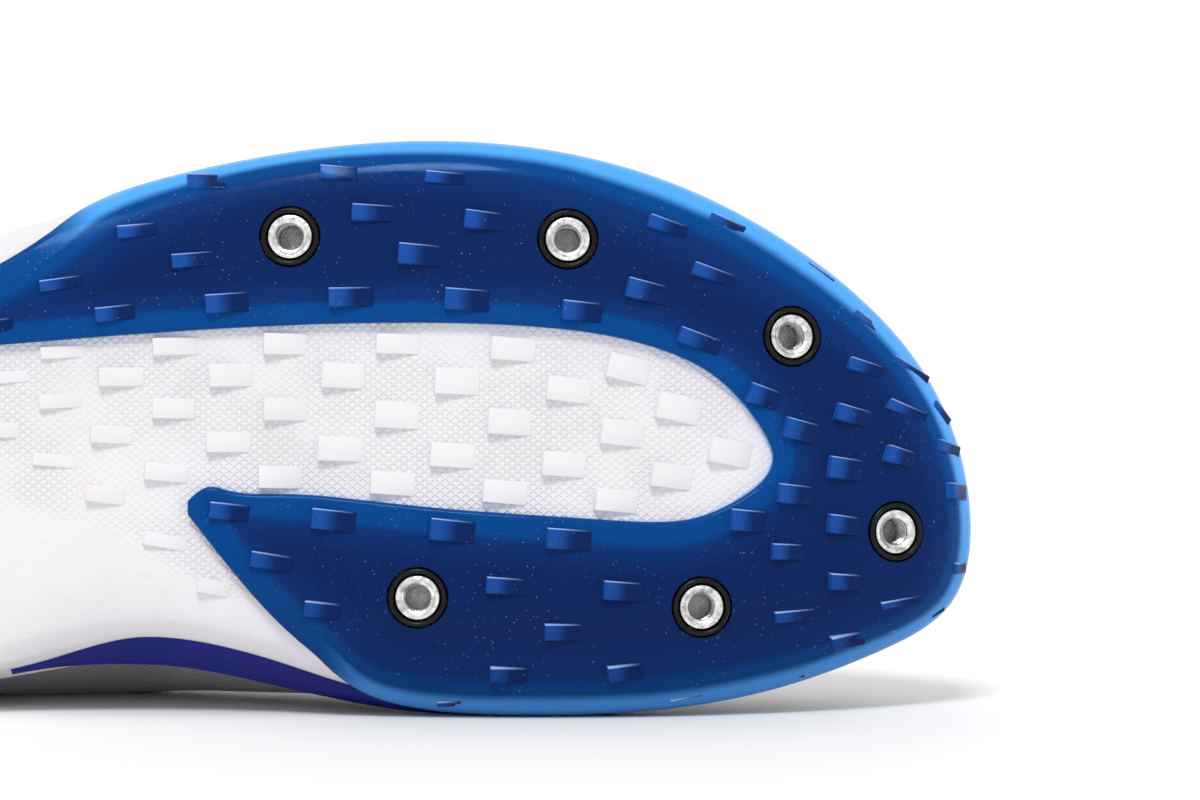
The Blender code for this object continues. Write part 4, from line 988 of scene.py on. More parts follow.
def foam_finish(colours, sizes):
    """White moulded foam: a net of fine diamonds on the tread and scuffs that fade out at the arch."""
    made = Recipe("moulded_foam", colours.foam, 0.42, Specular_IOR_Level=0.3)
    place = made.coords()
    along = made.node("ShaderNodeSeparateXYZ", {"Vector": place})
    flat = made.node("ShaderNodeCombineXYZ", {"X": along.outputs["X"], "Y": along.outputs["Z"]})
    lines = []
    for turn in (53.0, 127.0):
        turned = made.placed(flat.outputs["Vector"], turn)
        lines.append(made.wave(turned, WAVE_LENGTH / sizes.diamond_pitch, 0.25))
    net = made.math("POWER", made.math("MAXIMUM", *lines), 4.0)
    worn = made.ramp(made.noise(place, 55.0, 3.0), (0.3, 0.35), (0.6, 1.0))
    mask = made.times(made.attribute("tread"), worn)
    relief = made.times(net, mask)
    grain = made.bump(made.noise(place, 900.0, 2.0), 0.02)
    streaks = made.noise(made.placed(place, 0.0, (220.0, 220.0, 900.0)), 1.0, 4.0)
    scuffs = made.ramp(streaks, (0.6, 0.0), (0.75, 1.0))
    made.feed("Normal", made.bump(relief, sizes.diamond_depth * 1000, made.bump(scuffs, 0.03, grain)))
    blotch = made.noise(place, 38.0, 4.0)
    dirt = made.ramp(blotch, (0.2, shaded(colours.foam, 0.94)), (0.6, colours.foam))
    between = made.times(made.math("SUBTRACT", 1.0, net), mask)
    soiled = made.math("ADD", made.times(between, 0.03), made.times(scuffs, 0.12))
    made.feed("Base Color", made.mix(soiled, dirt, (0.62, 0.6, 0.6)))
    made.feed("Roughness", made.math("ADD", made.times(blotch, 0.2), 0.36))
    return made.material


def plate_finish(colours):
    """Clear blue plastic over a dark backing, with dust and faint scratches: painted light along its edges
    and on the tall ends of its lugs, a painted highlight along the lugs' upper edges and painted shade
    towards the floor.
    """
    shine = {"Specular_IOR_Level": 0.14, "Specular_Tint": (0.3, 0.55, 1.0, 1.0), "IOR": 1.5}
    made = Recipe("blue_plate", colours.plate_deep, 0.18, **shine)
    across = made.node("ShaderNodeSeparateXYZ", {"Vector": made.coords("UV")}).outputs["Y"]
    place = made.coords()
    wander = made.times(made.math("SUBTRACT", made.noise(place, 60.0), 0.5), 0.04)
    depth = made.math("ADD", made.times(across, 100.0), wander)
    # Painted light: the plate gets lighter towards its edges and is brightest on its rim
    edges = made.ramp(
        depth,
        (0.0, colours.plate_rim_light),
        (0.1, colours.plate_rim_light),
        (0.2, colours.plate_edge_light),
        (0.25, colours.plate_edge_light),
        (0.38, colours.plate_fading_light),
        (0.75, colours.plate_deep),
    )
    run = made.math("ADD", made.attribute("run"), wander)
    # Painted light on the tall ends of the lugs, fading into the plate's deep colour
    lug = made.ramp(run, (0.0, colours.plate_lug_light), (0.2, colours.plate_lug_light), (0.68, colours.plate_deep))
    standing = made.math("GREATER_THAN", across, 0.5 * LUG_MARK)
    height = made.node("ShaderNodeSeparateXYZ", {"Vector": place}).outputs["Z"]
    # Painted shade: the plate gets darker towards the floor
    low = made.ramp(made.times(height, 20.0), (0.0, 0.45), (0.9, 0.0))
    body = made.mix(low, made.mix(standing, edges, lug), (0.002, 0.006, 0.05))
    lit = made.mix(made.attribute("glint"), body, (0.35, 0.5, 0.9))
    spots = made.ramp(made.noise(place, 2300.0, 1.0), (0.0, 0.0), (0.735, 0.0), (0.76, 1.0))
    where = made.ramp(made.noise(place, 90.0), (0.35, 0.0), (0.65, 1.0))
    dust = made.times(made.times(spots, where), 0.35)
    made.feed("Base Color", made.mix(dust, lit, (0.5, 0.6, 0.8)))
    stretched = made.placed(place, 0.0, (60.0, 900.0, 900.0))
    scratch = made.bump(made.noise(stretched, 1.0, 2.0), 0.01)
    made.feed("Normal", made.bump(made.noise(place, 220.0, 2.0), 0.02, scratch))
    made.feed("Roughness", made.ramp(made.noise(place, 150.0), (0.3, 0.1), (0.75, 0.2)))
    return made.material


def violet_finish(name, colour, roughness):
    """Dense moulded foam or film in violet, very slightly mottled."""
    made = Recipe(name, colour, roughness, Specular_IOR_Level=0.2)
    place = made.coords()
    blotch = made.noise(place, 90.0)
    made.feed("Base Color", made.ramp(blotch, (0.3, shaded(colour, 0.8)), (0.7, colour)))
    made.feed("Normal", made.bump(made.noise(place, 1400.0, 2.0), 0.02))
    gloss = made.noise(place, 300.0)
    made.feed("Roughness", made.ramp(gloss, (0.3, roughness - 0.06), (0.7, roughness + 0.08)))
    return made.material


def steel_finish(colours):
    """Turned steel: a bright dented flange, painted shade in arcs on its chamfer and painted shade down its
    bore.
    """
    made = Recipe("turned_steel", colours.steel, 0.25, Metallic=1.0)
    place = made.coords()
    across = made.node("ShaderNodeSeparateXYZ", {"Vector": made.coords("UV")}).outputs["Y"]
    rings = made.node("ShaderNodeCombineXYZ", {"X": across})
    turned = made.bump(made.wave(rings.outputs["Vector"], 1900.0, 1.5), 0.012)
    made.feed("Normal", made.bump(made.noise(place, 1500.0, 3.0), 0.12, turned))
    made.feed("Roughness", made.ramp(made.noise(place, 700.0), (0.3, 0.18), (0.7, 0.42)))
    tone = made.ramp(made.noise(place, 900.0, 3.0), (0.34, 0.5), (0.46, colours.steel), (0.58, 0.95))
    # Painted shade in arcs on the chamfer, where it turns away from the light
    dark = made.mix(made.times(made.attribute("chamfer_shade"), 0.85), tone, (0.04, 0.04, 0.045))
    # Painted shade down the bore, growing with its depth
    made.feed("Base Color", made.mix(made.attribute("bore"), dark, (0.34, 0.34, 0.345)))
    return made.material


def black_finish(colours):
    """Shiny black collar round a spike seat."""
    made = Recipe("black_collar", colours.black, 0.25, Specular_IOR_Level=0.22)
    made.feed("Normal", made.bump(made.noise(made.coords(), 1500.0, 2.0), 0.02))
    made.feed("Roughness", made.ramp(made.noise(made.coords(), 500.0), (0.3, 0.18), (0.7, 0.4)))
    return made.material


def textile_finish(colour, pitch):
    """Thin woven textile: fine diagonal lines over a close weave, which follow the surface."""
    made = Recipe("grey_textile", colour, 0.78, Sheen_Weight=0.2, Sheen_Roughness=0.4)
    cloth = made.coords("UV")
    line = made.math("POWER", made.wave(made.placed(cloth, 40.0), WAVE_LENGTH / pitch, 0.5), 2.0)
    warp = made.wave(made.placed(cloth, 0.0), WAVE_LENGTH / (pitch * 0.3))
    weft = made.wave(made.placed(cloth, 90.0), WAVE_LENGTH / (pitch * 0.3))
    weave = made.times(warp, weft)
    made.feed("Normal", made.bump(line, 0.14, made.bump(weave, 0.05)))
    fade = made.noise(made.coords(), 45.0, 4.0)
    base = made.ramp(fade, (0.25, shaded(colour, 0.84)), (0.75, colour))
    dark = shaded(colour, 0.5)
    between = made.times(made.math("SUBTRACT", 1.0, line), 0.8)
    toned = made.mix(between, base, dark)
    made.feed("Base Color", made.mix(made.times(weave, 0.2), toned, dark))
    return made.material


def knit_finish(name, colour, pitch):
    """Soft knitted lining with a small open mesh."""
    made = Recipe(name, colour, 0.9, Sheen_Weight=0.4, Sheen_Roughness=0.5)
    cloth = made.coords("UV")
    left = made.wave(made.placed(cloth, 45.0), WAVE_LENGTH / pitch)
    right = made.wave(made.placed(cloth, 135.0), WAVE_LENGTH / pitch)
    mesh = made.times(left, right)
    made.feed("Normal", made.bump(mesh, 0.25))
    share = made.ramp(mesh, (0.1, 0.0), (0.6, 1.0))
    made.feed("Base Color", made.mix(share, shaded(colour, 0.45), colour))
    return made.material


def lace_finish(colours, pitch=0.0008):
    """Flat woven lace: a herringbone of fine yarn."""
    made = Recipe("white_lace", colours.lace, 0.85, Sheen_Weight=0.3, Sheen_Roughness=0.5)
    cloth = made.coords("UV")
    left = made.wave(made.placed(cloth, 32.0), WAVE_LENGTH / pitch)
    right = made.wave(made.placed(cloth, -32.0), WAVE_LENGTH / pitch)
    weave = made.times(left, right)
    made.feed("Normal", made.bump(weave, 0.22))
    made.feed("Base Color", made.ramp(weave, (0.0, shaded(colours.lace, 0.6)), (0.5, colours.lace)))
    return made.material


def thread_finish(colours):
    """Twisted sewing thread."""
    made = Recipe("stitch_thread", colours.thread, 0.7)
    made.feed("Normal", made.bump(made.noise(made.coords(), 2500.0, 2.0), 0.05))
    tone = made.noise(made.coords(), 400.0)
    made.feed("Base Color", made.ramp(tone, (0.3, shaded(colours.thread, 0.75)), (0.7, colours.thread)))
    return made.material


def floor_finish(colour):
    """Even, matt studio floor."""
    made = Recipe("studio_floor", colour, 0.6)
    made.feed("Roughness", made.ramp(made.noise(made.coords(), 3.0), (0.3, 0.55), (0.7, 0.7)))
    return made.material


# The sole, its plate and what stands on them


PLATE_KNOTS = chord_knots(np.array([[(a + c) / 2, (b + d) / 2] for a, b, c, d, _ in PLATE]))
plate_edges = spline_through(PLATE_KNOTS, np.array(PLATE, float))


def plate_shape(shares):
    """The plate's two edges at shares of its length, how far it wraps, and the place round the sole."""
    row = plate_edges(shares)
    wrap = np.clip(row[:, 4], 0, 1)
    away = np.linalg.norm(row[:, None, :2] - DENSE_EDGE[None, :, :2], axis=2)
    place = (DENSE_PLACES[away.argmin(axis=1)] + 0.5) % 1.0
    return row[:, :2], row[:, 2:4], wrap, place


def plate_outline():
    """The plate's two edges, its outer one on the sole's widest line where it wraps."""
    outer, inner, wrap, place = plate_shape(np.linspace(0, 1, 160))
    on_edge = edge(place - 0.5)[:, :2]
    return outer + (on_edge - outer) * smooth_step(wrap)[:, None], inner


def plate_stations():
    """Stations along the plate: even along it, and close together round its two tails."""
    even = np.linspace(0, 1, PLATE_STATIONS)
    tail = PLATE_TAIL * np.linspace(0, 1, 12)[:-1] ** 2
    shares = np.unique(np.concatenate([even[even > PLATE_TAIL][:-1], tail, 1 - tail, [PLATE_TAIL]]))
    return np.append(shares[shares < 0.9999], 1.0)


def even_places(shares):
    """Places round the sole at shares of the plate's length, without the steps of DENSE_PLACES."""
    fine = np.linspace(0, 1, 3000)
    width = 31
    places = np.pad(plate_shape(fine)[3], width // 2, mode="edge")
    return np.interp(shares, fine, np.convolve(places, np.ones(width) / width, "valid")) - 0.5


def plate_surface():
    """The plate as closed sections, for each point its distance from the border, and the run along it."""
    shares = plate_stations()
    outer, inner, wrap, _ = plate_shape(shares)
    place = even_places(shares)
    hold = smooth_step(wrap)
    outer = outer + (edge(place)[:, :2] - outer) * hold[:, None]
    span = np.linalg.norm(inner - outer, axis=1)
    front = PLATE_GAP + PLATE_THICK

    def at(distance, out):
        """A free point at a distance from the outer edge."""
        plan = outer + (inner - outer) * (distance / span)[:, None]
        return tread_point(plan, out)[0]

    def rounded(step):
        return front - PLATE_ROUND * (1 - math.sqrt(max(0.0, 1 - (1 - step) ** 2)))

    def held(free, height, out):
        """A free point that goes over into one on the side wall where the plate wraps."""
        return free + (wall_point(place, height, out) - free) * hold[:, None]

    limit = np.minimum(PLATE_ROUND, 0.3 * span)
    section = [held(at(0.0, PLATE_BACK), RIM_SECTION[0][1], PLATE_BACK)]
    for step, height, out in RIM_SECTION:
        section.append(held(at(step * limit, rounded(step)), height, out))
    rim = len(section) - 2
    for share in 0.5 - 0.5 * np.cos(np.pi * np.linspace(0, 1, PLATE_COLUMNS)[1:-1]):
        distance = limit + (span - 2 * limit) * share
        section.append(at(distance * (1 - hold) + (span - limit) * share * hold, front))
    for step, _, _ in RIM_SECTION[::-1]:
        section.append(at(span - step * limit, rounded(step)))
    last = len(section)
    for share in (1.0, 0.75, 0.5, 0.25):
        section.append(at(span * share, PLATE_BACK))
    section = np.array(section)

    plan = section[..., :2].reshape(-1, 2)
    glow = spline_through(PLATE_KNOTS, np.array(GLOW, float).T)(shares)
    gaps = []
    for row, wide in ((section[rim], glow[:, 0]), (section[last - 1], glow[:, 1])):
        line = np.vstack([row[:, :2], row[::-1, :2]])
        gaps.append(distance_to(line, plan).reshape(section.shape[:2]) * GLOW_WIDTH / wide)
    gaps[0] = np.maximum(gaps[0], INNER_GLOW * (1 - hold))
    border = np.minimum(gaps[0], np.maximum(gaps[1], INNER_GLOW))
    steps = np.linalg.norm(np.diff(0.5 * (outer + inner), axis=0), axis=1)
    along = np.concatenate([[0.0], np.cumsum(steps)])
    ends = np.minimum(along, along[-1] - along) + 0.5
    border = np.minimum(border, np.maximum(ends[None], INNER_GLOW))
    border[last:] = 0.0
    return section, border, along


def heel_lugs():
    """Places of the lugs behind those of the forefoot, as rows of WHITE_LUGS."""
    outer, inner = plate_outline()
    plate = np.vstack([outer, inner[::-1]])
    arch_x, arch_y = np.array(SMOOTH_ARCH).T
    length, width = HEEL_LUG
    for column in range(HEEL_COLUMNS):
        x = HEEL_FIRST - HEEL_COLUMN_STEP * column
        front, back = HEEL_MIDDLE
        middle = front + (back - front) * smooth_step((column + 1) / HEEL_COLUMNS)
        for step in range(-HEEL_ROWS, HEEL_ROWS + 1):
            y = middle + HEEL_ROW_STEP * (step + 0.5 * (column % 2))
            here = np.array([[x, y]])
            if not inside(DENSE_EDGE[:, :2], here)[0] or inside(plate, here)[0]:
                continue
            if distance_to(plate, here)[0] < 0.5 * length + HEEL_LUG_MARGIN:
                continue
            if distance_to(DENSE_EDGE[:, :2], here)[0] < HEEL_LUG_FROM_RIM:
                continue
            if y > np.interp(x, arch_x, arch_y):
                continue
            yield x, y, length, width, 0.0


def wedge():
    """The lug that the others are copied from: tall at its heel end, running out towards the toe."""
    length, width, height = LUG_PATTERN
    deselect()
    bpy.ops.mesh.primitive_cube_add(size=1.0)
    piece = bpy.context.object
    for vertex in piece.data.vertices:
        x, y, z = vertex.co
        top = z > 0
        vertex.co.x = x * length + (LUG_LEAN if top and x < 0 else 0.0)
        vertex.co.y = y * (width - (LUG_DRAFT if top else 0.0))
        vertex.co.z = (height if x < 0 else LUG_TIP) if top else -LUG_SINK
    edit_all(piece)
    bpy.ops.mesh.select_mode(type="EDGE")
    bpy.ops.mesh.bevel(offset=LUG_BEVEL, segments=2, affect="EDGES")
    bpy.ops.object.mode_set(mode="OBJECT")
    return piece


def lug_group(name, sites, tallest, out, finish, slot):
    """All lugs of one finish as a mesh whose copies have their own sizes and follow the sole's roll."""
    pattern = wedge()
    local = mesh_points(pattern)
    sizes = np.array(LUG_PATTERN)
    upper_edge = (local[:, 1] < -0.5 * sizes[1] + 0.32) & (local[:, 2] > LUG_TIP)
    glint = upper_edge * smooth_step(1.1 - 1.6 * (local[:, 0] / sizes[0] + 0.5))
    clouds, maps = [], []
    for x, y, length, width, turn in sites:
        height = tallest * min(1.0, width / FULL_HEIGHT_WIDTH) ** 2
        grown = local.copy()
        grown[:, 0] += np.sign(local[:, 0]) * 0.5 * (length - sizes[0])
        grown[:, 1] += np.sign(local[:, 1]) * 0.5 * (width - sizes[1])
        grown[:, 2] *= np.where(local[:, 2] > 0, height / sizes[2], 1.0)
        along = np.array([math.cos(math.radians(turn)), math.sin(math.radians(turn))])
        across = np.array([-along[1], along[0]])
        base = LUG_BASE * (length, width)
        foot, _ = tread_point(np.array([x, y]) + base[:, :1] * along + base[:, 1:] * across, out)
        lies = np.linalg.lstsq(np.column_stack([base, np.ones(len(base))]), foot, rcond=None)[0]
        outward = np.cross(lies[1], lies[0])
        outward /= np.linalg.norm(outward)
        clouds.append(lay(lies[2] + grown[:, :2] @ lies[:2] + grown[:, 2:3] * outward))
        run = (grown[:, 0] / length + 0.5) * 10
        maps.append(np.column_stack([run, np.full(len(run), LUG_MARK)]))
    piece = tiled(name, pattern, clouds, maps)
    paint(piece, "glint", np.tile(glint, len(clouds)))
    paint(piece, "run", np.concatenate([rows[:, 0] / 10 for rows in maps]))
    shade(piece, 30.0)
    return dress(piece, finish, slot)


def seat_frame(x, y):
    """The place of a spike seat on the plate in metres, its z axis pointing out of the sole."""
    point, outward = tread_point([[x, y]], PLATE_GAP + PLATE_THICK)
    return stood(lay(point[0]), Vector((TURN @ outward[0]).tolist()))


def seat_holes():
    """Cylinders where the spike seats go through plate and sole."""
    sunk = Matrix.Translation((0, 0, 0.001 * (1 - SEAT_DEPTH / 2)))
    radius, depth = SEAT_HOLE_RADIUS * 0.001, (SEAT_DEPTH + 2) * 0.001
    return [bored(seat_frame(x, y) @ sunk, radius, depth, SEAT_SIDES) for x, y in SPIKE_SEATS]


def spun(name, rows):
    """A body spun from (radius, depth) rows in millimetres, standing on its own axis."""
    deselect()
    bpy.ops.mesh.primitive_circle_add(vertices=3, radius=0.001)
    piece = bpy.context.object
    piece.name = name
    line = [(radius * 0.001, 0.0, -depth * 0.001) for radius, depth in rows]
    mesh = bpy.data.meshes.new(name)
    mesh.from_pydata(line, [(i, i + 1) for i in range(len(line) - 1)], [])
    piece.data = mesh
    edit_all(piece)
    bpy.ops.mesh.spin(steps=SEAT_SIDES, angle=2 * math.pi, center=(0, 0, 0), axis=(0, 0, 1))
    bpy.ops.object.mode_set(mode="OBJECT")
    edit_all(piece)
    bpy.ops.mesh.remove_doubles(threshold=1e-6)
    bpy.ops.mesh.normals_make_consistent(inside=False)
    bpy.ops.object.mode_set(mode="OBJECT")
    return piece


def insert_rows(thread_pitch):
    """The insert's section: turned flange, mouth chamfer, threads and the bottom of its bore."""
    rows = [(0.0, 5.0), (2.3, 5.0)]
    depth = 4.7
    while depth > 1.2:
        rows += [(2.22, depth), (2.22, depth - 0.12), (2.55, depth - 0.38), (2.55, depth - 0.5)]
        depth -= thread_pitch
    chamfer = [(2.36, 0.95), (2.42, 0.64), (3.0, 0.42), (3.12, 0.29)]
    flange = [(3.6, 0.25), (3.76, 0.29), (3.84, 0.42), (3.85, 0.6), (3.85, 5.8), (0.0, 5.8)]
    return rows + chamfer + flange


# The black collar's section, as (radius, depth)
RING_ROWS = (
    (4.15, 4.8),
    (4.15, 0.6),
    (4.2, 0.25),
    (4.35, -0.02),
    (4.55, -0.14),
    (4.75, -0.15),
    (4.95, -0.05),
    (5.07, 0.12),
    (5.1, 0.4),
    (5.1, 4.8),
    (4.15, 4.8),
)


# Round sweeps, stitches and ribbons


def frames_along(path, faces, closed=False):
    """Unit directions along, across and out of a path that faces the given ways."""
    if closed:
        along = np.roll(path, -1, axis=0) - np.roll(path, 1, axis=0)
    else:
        along = np.gradient(path, axis=0)
    along /= np.linalg.norm(along, axis=1, keepdims=True)
    side = np.cross(along, faces)
    side /= np.linalg.norm(side, axis=1, keepdims=True)
    return along, side, np.cross(side, along)


def swept(name, path, faces, outline, closed=False):
    """A closed outline of (across, out) millimetres carried along a path."""
    _, side, face = frames_along(path, faces, closed)
    loops = [path + side * u + face * v for u, v in outline]
    points = np.array(loops + [loops[0]])
    if closed:
        points = np.concatenate([points, points[:, :1]], axis=1)
    return laid_grid(name, points)


def rounded_outline(width, thick):
    """The outline of a flat ribbon with round edges."""
    half, radius = 0.5 * width - 0.5 * thick, 0.5 * thick
    right = np.linspace(-0.5, 0.5, 7) * math.pi
    rim = [(half + radius * math.cos(a), radius * math.sin(a)) for a in right]
    flat = [(half * s, radius) for s in (0.6, 0.2, -0.2, -0.6)]
    return rim + flat + [(-u, -v) for u, v in rim] + [(-u, -v) for u, v in flat]


def resample(path, values, spacing):
    """Points at an even spacing along a path, with values carried along."""
    run = np.concatenate([[0.0], np.cumsum(np.linalg.norm(np.diff(path, axis=0), axis=1))])
    wanted = np.arange(0.5 * spacing, run[-1], spacing)
    read = [np.interp(wanted, run, column) for column in np.hstack([path, values]).T]
    read = np.array(read).T
    return read[:, :3], read[:, 3:]


def stitch_run(name, path, faces, pitch):
    """A row of single stitches, each one a copy of one small modelled loop of thread."""
    points, ways = resample(path, faces, pitch)
    along, side, face = frames_along(points, ways)
    deselect()
    bpy.ops.mesh.primitive_uv_sphere_add(segments=8, ring_count=6, radius=1.0)
    pattern = bpy.context.object
    local = mesh_points(pattern) * np.array([0.34 * pitch, 0.2, 0.2])
    local[:, 2] -= 0.25 * (local[:, 0] / local[:, 0].max()) ** 2
    clouds = []
    for k in range(len(points)):
        cloud = points[k] + local[:, :1] * along[k] + local[:, 1:2] * side[k] + local[:, 2:3] * face[k]
        clouds.append(lay(cloud))
    piece = tiled(name, pattern, clouds)
    shade(piece, 60.0)
    return piece


def skin_facing(places, shares):
    """The ways that the upper's outer face looks."""
    return upper_skin(places, shares, 1.0) - upper_skin(places, shares, 0.0)


def lace_end(place, inset, lift):
    """A point off the upper, beside the throat's edge."""
    place = np.array([place])
    return upper_skin(place, share_from_edge(place, inset), lift)[0]


def lace_facing(place, inset):
    """The way that the upper looks there."""
    return lace_end(place, inset, 1.0) - lace_end(place, inset, 0.0)


def throat_stop(place, towards):
    """Where a lace dips beside the throat's edge on its way under it."""
    rim = lace_end(place, 0.0, 0.0)
    way = towards - rim
    way[2] = 0
    way /= np.linalg.norm(way)
    return rim + way * THROAT_DIP + np.array(THROAT_SHIFT)


def throat_pair(x):
    """The lateral and the medial place of the throat's edge at x."""
    return throat_place(x, "lateral") - 1, throat_place(x, "medial")


def eyelet_pair(index):
    return throat_pair(EYELET_PLACES[index])


def eyelet_holes():
    """Cylinders where the lace goes through eyestay and upper."""
    holes = []
    for index in range(len(EYELET_PLACES)):
        for place in eyelet_pair(index):
            low, high = (lay(lace_end(place, EYELET_INSET, reach)) for reach in EYELET_REACH)
            axis = Vector((high - low).tolist())
            hole = stood(0.5 * (low + high), axis)
            holes.append(bored(hole, EYELET_RADIUS * 0.001, axis.length, 20))
    return holes


def ribbon(name, points, faces, sizes):
    """A flat woven lace along a smooth path, facing the given ways at its points."""
    knots = chord_knots(np.array(points))
    shares = np.linspace(0, 1, 48)
    path = spline_through(knots, np.array(points))(shares)
    straight = np.stack([np.interp(shares, knots, column) for column in np.array(faces).T], axis=1)
    ways = spline_through(knots, np.array(faces, float))(shares) * 0.5 + straight * 0.5
    return swept(name, path, ways, rounded_outline(sizes.lace_width * 1000, sizes.lace_thick * 1000))


# What a user may change


def size_property(name, description, default):
    return bpy.props.FloatProperty(
        name=name,
        description=description,
        default=default,
        min=1e-5,
        unit="LENGTH",
        subtype="DISTANCE",
        precision=5,
    )


def angle_property(name, description, degrees):
    return bpy.props.FloatProperty(
        name=name,
        description=description,
        default=math.radians(degrees),
        subtype="ANGLE",
    )


def light_property(name, description, default):
    return bpy.props.FloatProperty(name=name, description=description, default=default, min=0.0)


def colour_property(name, description, default):
    return bpy.props.FloatVectorProperty(
        name=name,
        description=description,
        default=default,
        size=3,
        min=0.0,
        max=1.0,
        subtype="COLOR",
    )


class SpikeShoeSizes(bpy.types.PropertyGroup):
    """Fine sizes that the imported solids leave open."""

    lace_width: size_property("Lace width", "Width of the flat lace", 0.005)
    lace_thick: size_property("Lace thickness", "Thickness of the flat lace", 0.0011)
    rib_depth: size_property("Rib depth", "Depth of the grooves in the side band", 0.0006)
    thread_pitch: size_property("Thread pitch", "Pitch of the thread in the inserts", 0.0008)
    diamond_pitch: size_property("Diamond pitch", "Distance between the lines of the tread", 0.00108)
    diamond_depth: size_property("Diamond depth", "Depth of the tread's texture", 0.00016)
    stitch_pitch: size_property("Stitch pitch", "Distance from one stitch to the next", 0.0024)
    cloth_pitch: size_property("Cloth line pitch", "Distance between the textile's lines", 0.0011)
    ribs: bpy.props.IntProperty(name="Ribs", description="Ribs on the side band", default=6, min=1, max=12)


class SpikeShoeColours(bpy.types.PropertyGroup):
    """Colours of the shoe's materials."""

    foam: colour_property("Foam", "Foam of the sole", (0.81, 0.788, 0.813))
    violet: colour_property("Violet", "Side band of the sole", (0.005, 0.009, 0.19))
    overlay: colour_property("Overlay", "Eyestay and heel counter", (0.012, 0.014, 0.15))
    plate_deep: colour_property("Plate, deep", "Middle of the plate", (0.004, 0.018, 0.105))
    # The plate's middle, edge and rim colours are painted light gathered along its edges; its lug colour is
    # painted light on the lugs' tall ends
    plate_fading_light: colour_property("Plate, middle", "Between its middle and its edge", (0.004, 0.028, 0.15))
    plate_edge_light: colour_property("Plate, edge", "Light that gathers along its edge", (0.002, 0.058, 0.25))
    plate_lug_light: colour_property("Plate, lugs", "Tall ends of the plate's lugs", (0.012, 0.075, 0.34))
    plate_rim_light: colour_property("Plate, rim", "Outermost line of the plate", (0.08, 0.38, 0.92))
    black: colour_property("Black", "Collars of the inserts", (0.004, 0.004, 0.005))
    steel: colour_property("Steel", "Threaded inserts", (0.76, 0.75, 0.75))
    textile: colour_property("Textile", "Upper", (0.42, 0.405, 0.43))
    lining: colour_property("Lining", "Collar lining and insole", (0.1, 0.1, 0.115))
    lace: colour_property("Lace", "Laces", (0.8, 0.8, 0.82))
    thread: colour_property("Thread", "Stitches", (0.5, 0.51, 0.55))
    floor: colour_property("Floor", "Studio floor", (0.95, 0.95, 0.95))


class SpikeShoeStudio(bpy.types.PropertyGroup):
    """Camera and light."""

    distance: size_property("Camera distance", "From the camera to the sole", 1.2)
    lens: bpy.props.FloatProperty(
        name="Lens",
        description="Focal length",
        default=207.4,
        min=1.0,
        unit="CAMERA",
    )
    elevation: angle_property("Elevation", "How far the camera looks down", 3.5)
    key: light_property("Key light", "Strength of the overhead light", 1.5)
    softness: angle_property("Softness", "How large the overhead light looks", 16.0)
    world: light_property("Surroundings", "Strength of the white room", 0.71)


class ShoeOperator:
    """What the shoe's operators share."""

    bl_options = {"REGISTER", "UNDO"}

    @property
    def sizes(self):
        return bpy.context.scene.spike_shoe_sizes

    @property
    def colours(self):
        return bpy.context.scene.spike_shoe_colours

    def finish(self, name, build, *values):
        """A shared material, made once."""
        return bpy.data.materials.get(name) or build(*values)

    def lining(self):
        return self.finish("dark_lining", knit_finish, "dark_lining", self.colours.lining, 0.0016)


class SPIKESHOE_OT_sole(ShoeOperator, bpy.types.Operator):
    """Model the white foam sole with its rolled tread, lip and footbed"""

    bl_idname = "spike_shoe.sole"
    bl_label = "Foam Sole"

    def execute(self, context):
        places, spine = section_places(120)
        base = edge(places)[:, :2]

        def inward(start, inset):
            way = spine - start
            return start + way * (inset / np.linalg.norm(way, axis=1))[:, None]

        rings = []
        inner = inward(base, FLAT_INSET)
        for share in np.linspace(0, 1, 11)[:-1]:
            plan = spine + (inner - spine) * share
            rings.append(np.column_stack([plan, tread_height(plan)]))
        for inset in TREAD_INSETS:
            plan = inward(base, inset)
            rings.append(np.column_stack([plan, tread_height(plan)]))
        for height in WALL_HEIGHTS:
            rings.append(wall_point(places, height, 0.0))
        for height, inset in ((1.0, LIP_ROUND), (1.0, LIP_THICK - LIP_ROUND), (0.96, LIP_THICK)):
            rings.append(wall_point(places, height, -inset))
        seat = bed_point(places, LIP_THICK + 0.5 * GAP, 0.0)
        rings.append(seat)
        for inset in BED_INSETS:
            plan = inward(seat[:, :2], inset)
            rings.append(np.column_stack([plan, profile(plan[:, 0])[:, 1]]))
        rings.append(np.column_stack([spine, profile(spine[:, 0])[:, 1]]))
        piece = laid_grid("midsole", np.array(rings))
        cut(piece, seat_holes())
        points = own_axes(piece)
        arch_x, arch_y = np.array(SMOOTH_ARCH).T
        below = points[:, 2] < profile(points[:, 0])[:, 0] + TREAD_DEEP
        past = points[:, 1] - np.interp(points[:, 0], arch_x, arch_y)
        arch = 1 - smooth_step((past - ARCH_FADE[0]) / ARCH_FADE[1]) * (points[:, 0] < ARCH_FRONT)
        inboard = edge_distance(points[:, :2])[0]
        rim = smooth_step((inboard - RIM_FADE[0]) / RIM_FADE[1])
        paint(piece, "tread", below * arch * rim)
        shade(piece, 38.0)
        foam = self.finish("moulded_foam", foam_finish, self.colours, self.sizes)
        dress(piece, foam, "white_foam", "midsole")
        sites = (*WHITE_LUGS, *heel_lugs())
        lug_group("white_lugs", sites, WHITE_LUG_HEIGHT, 0.0, foam, "white_foam")
        return {"FINISHED"}


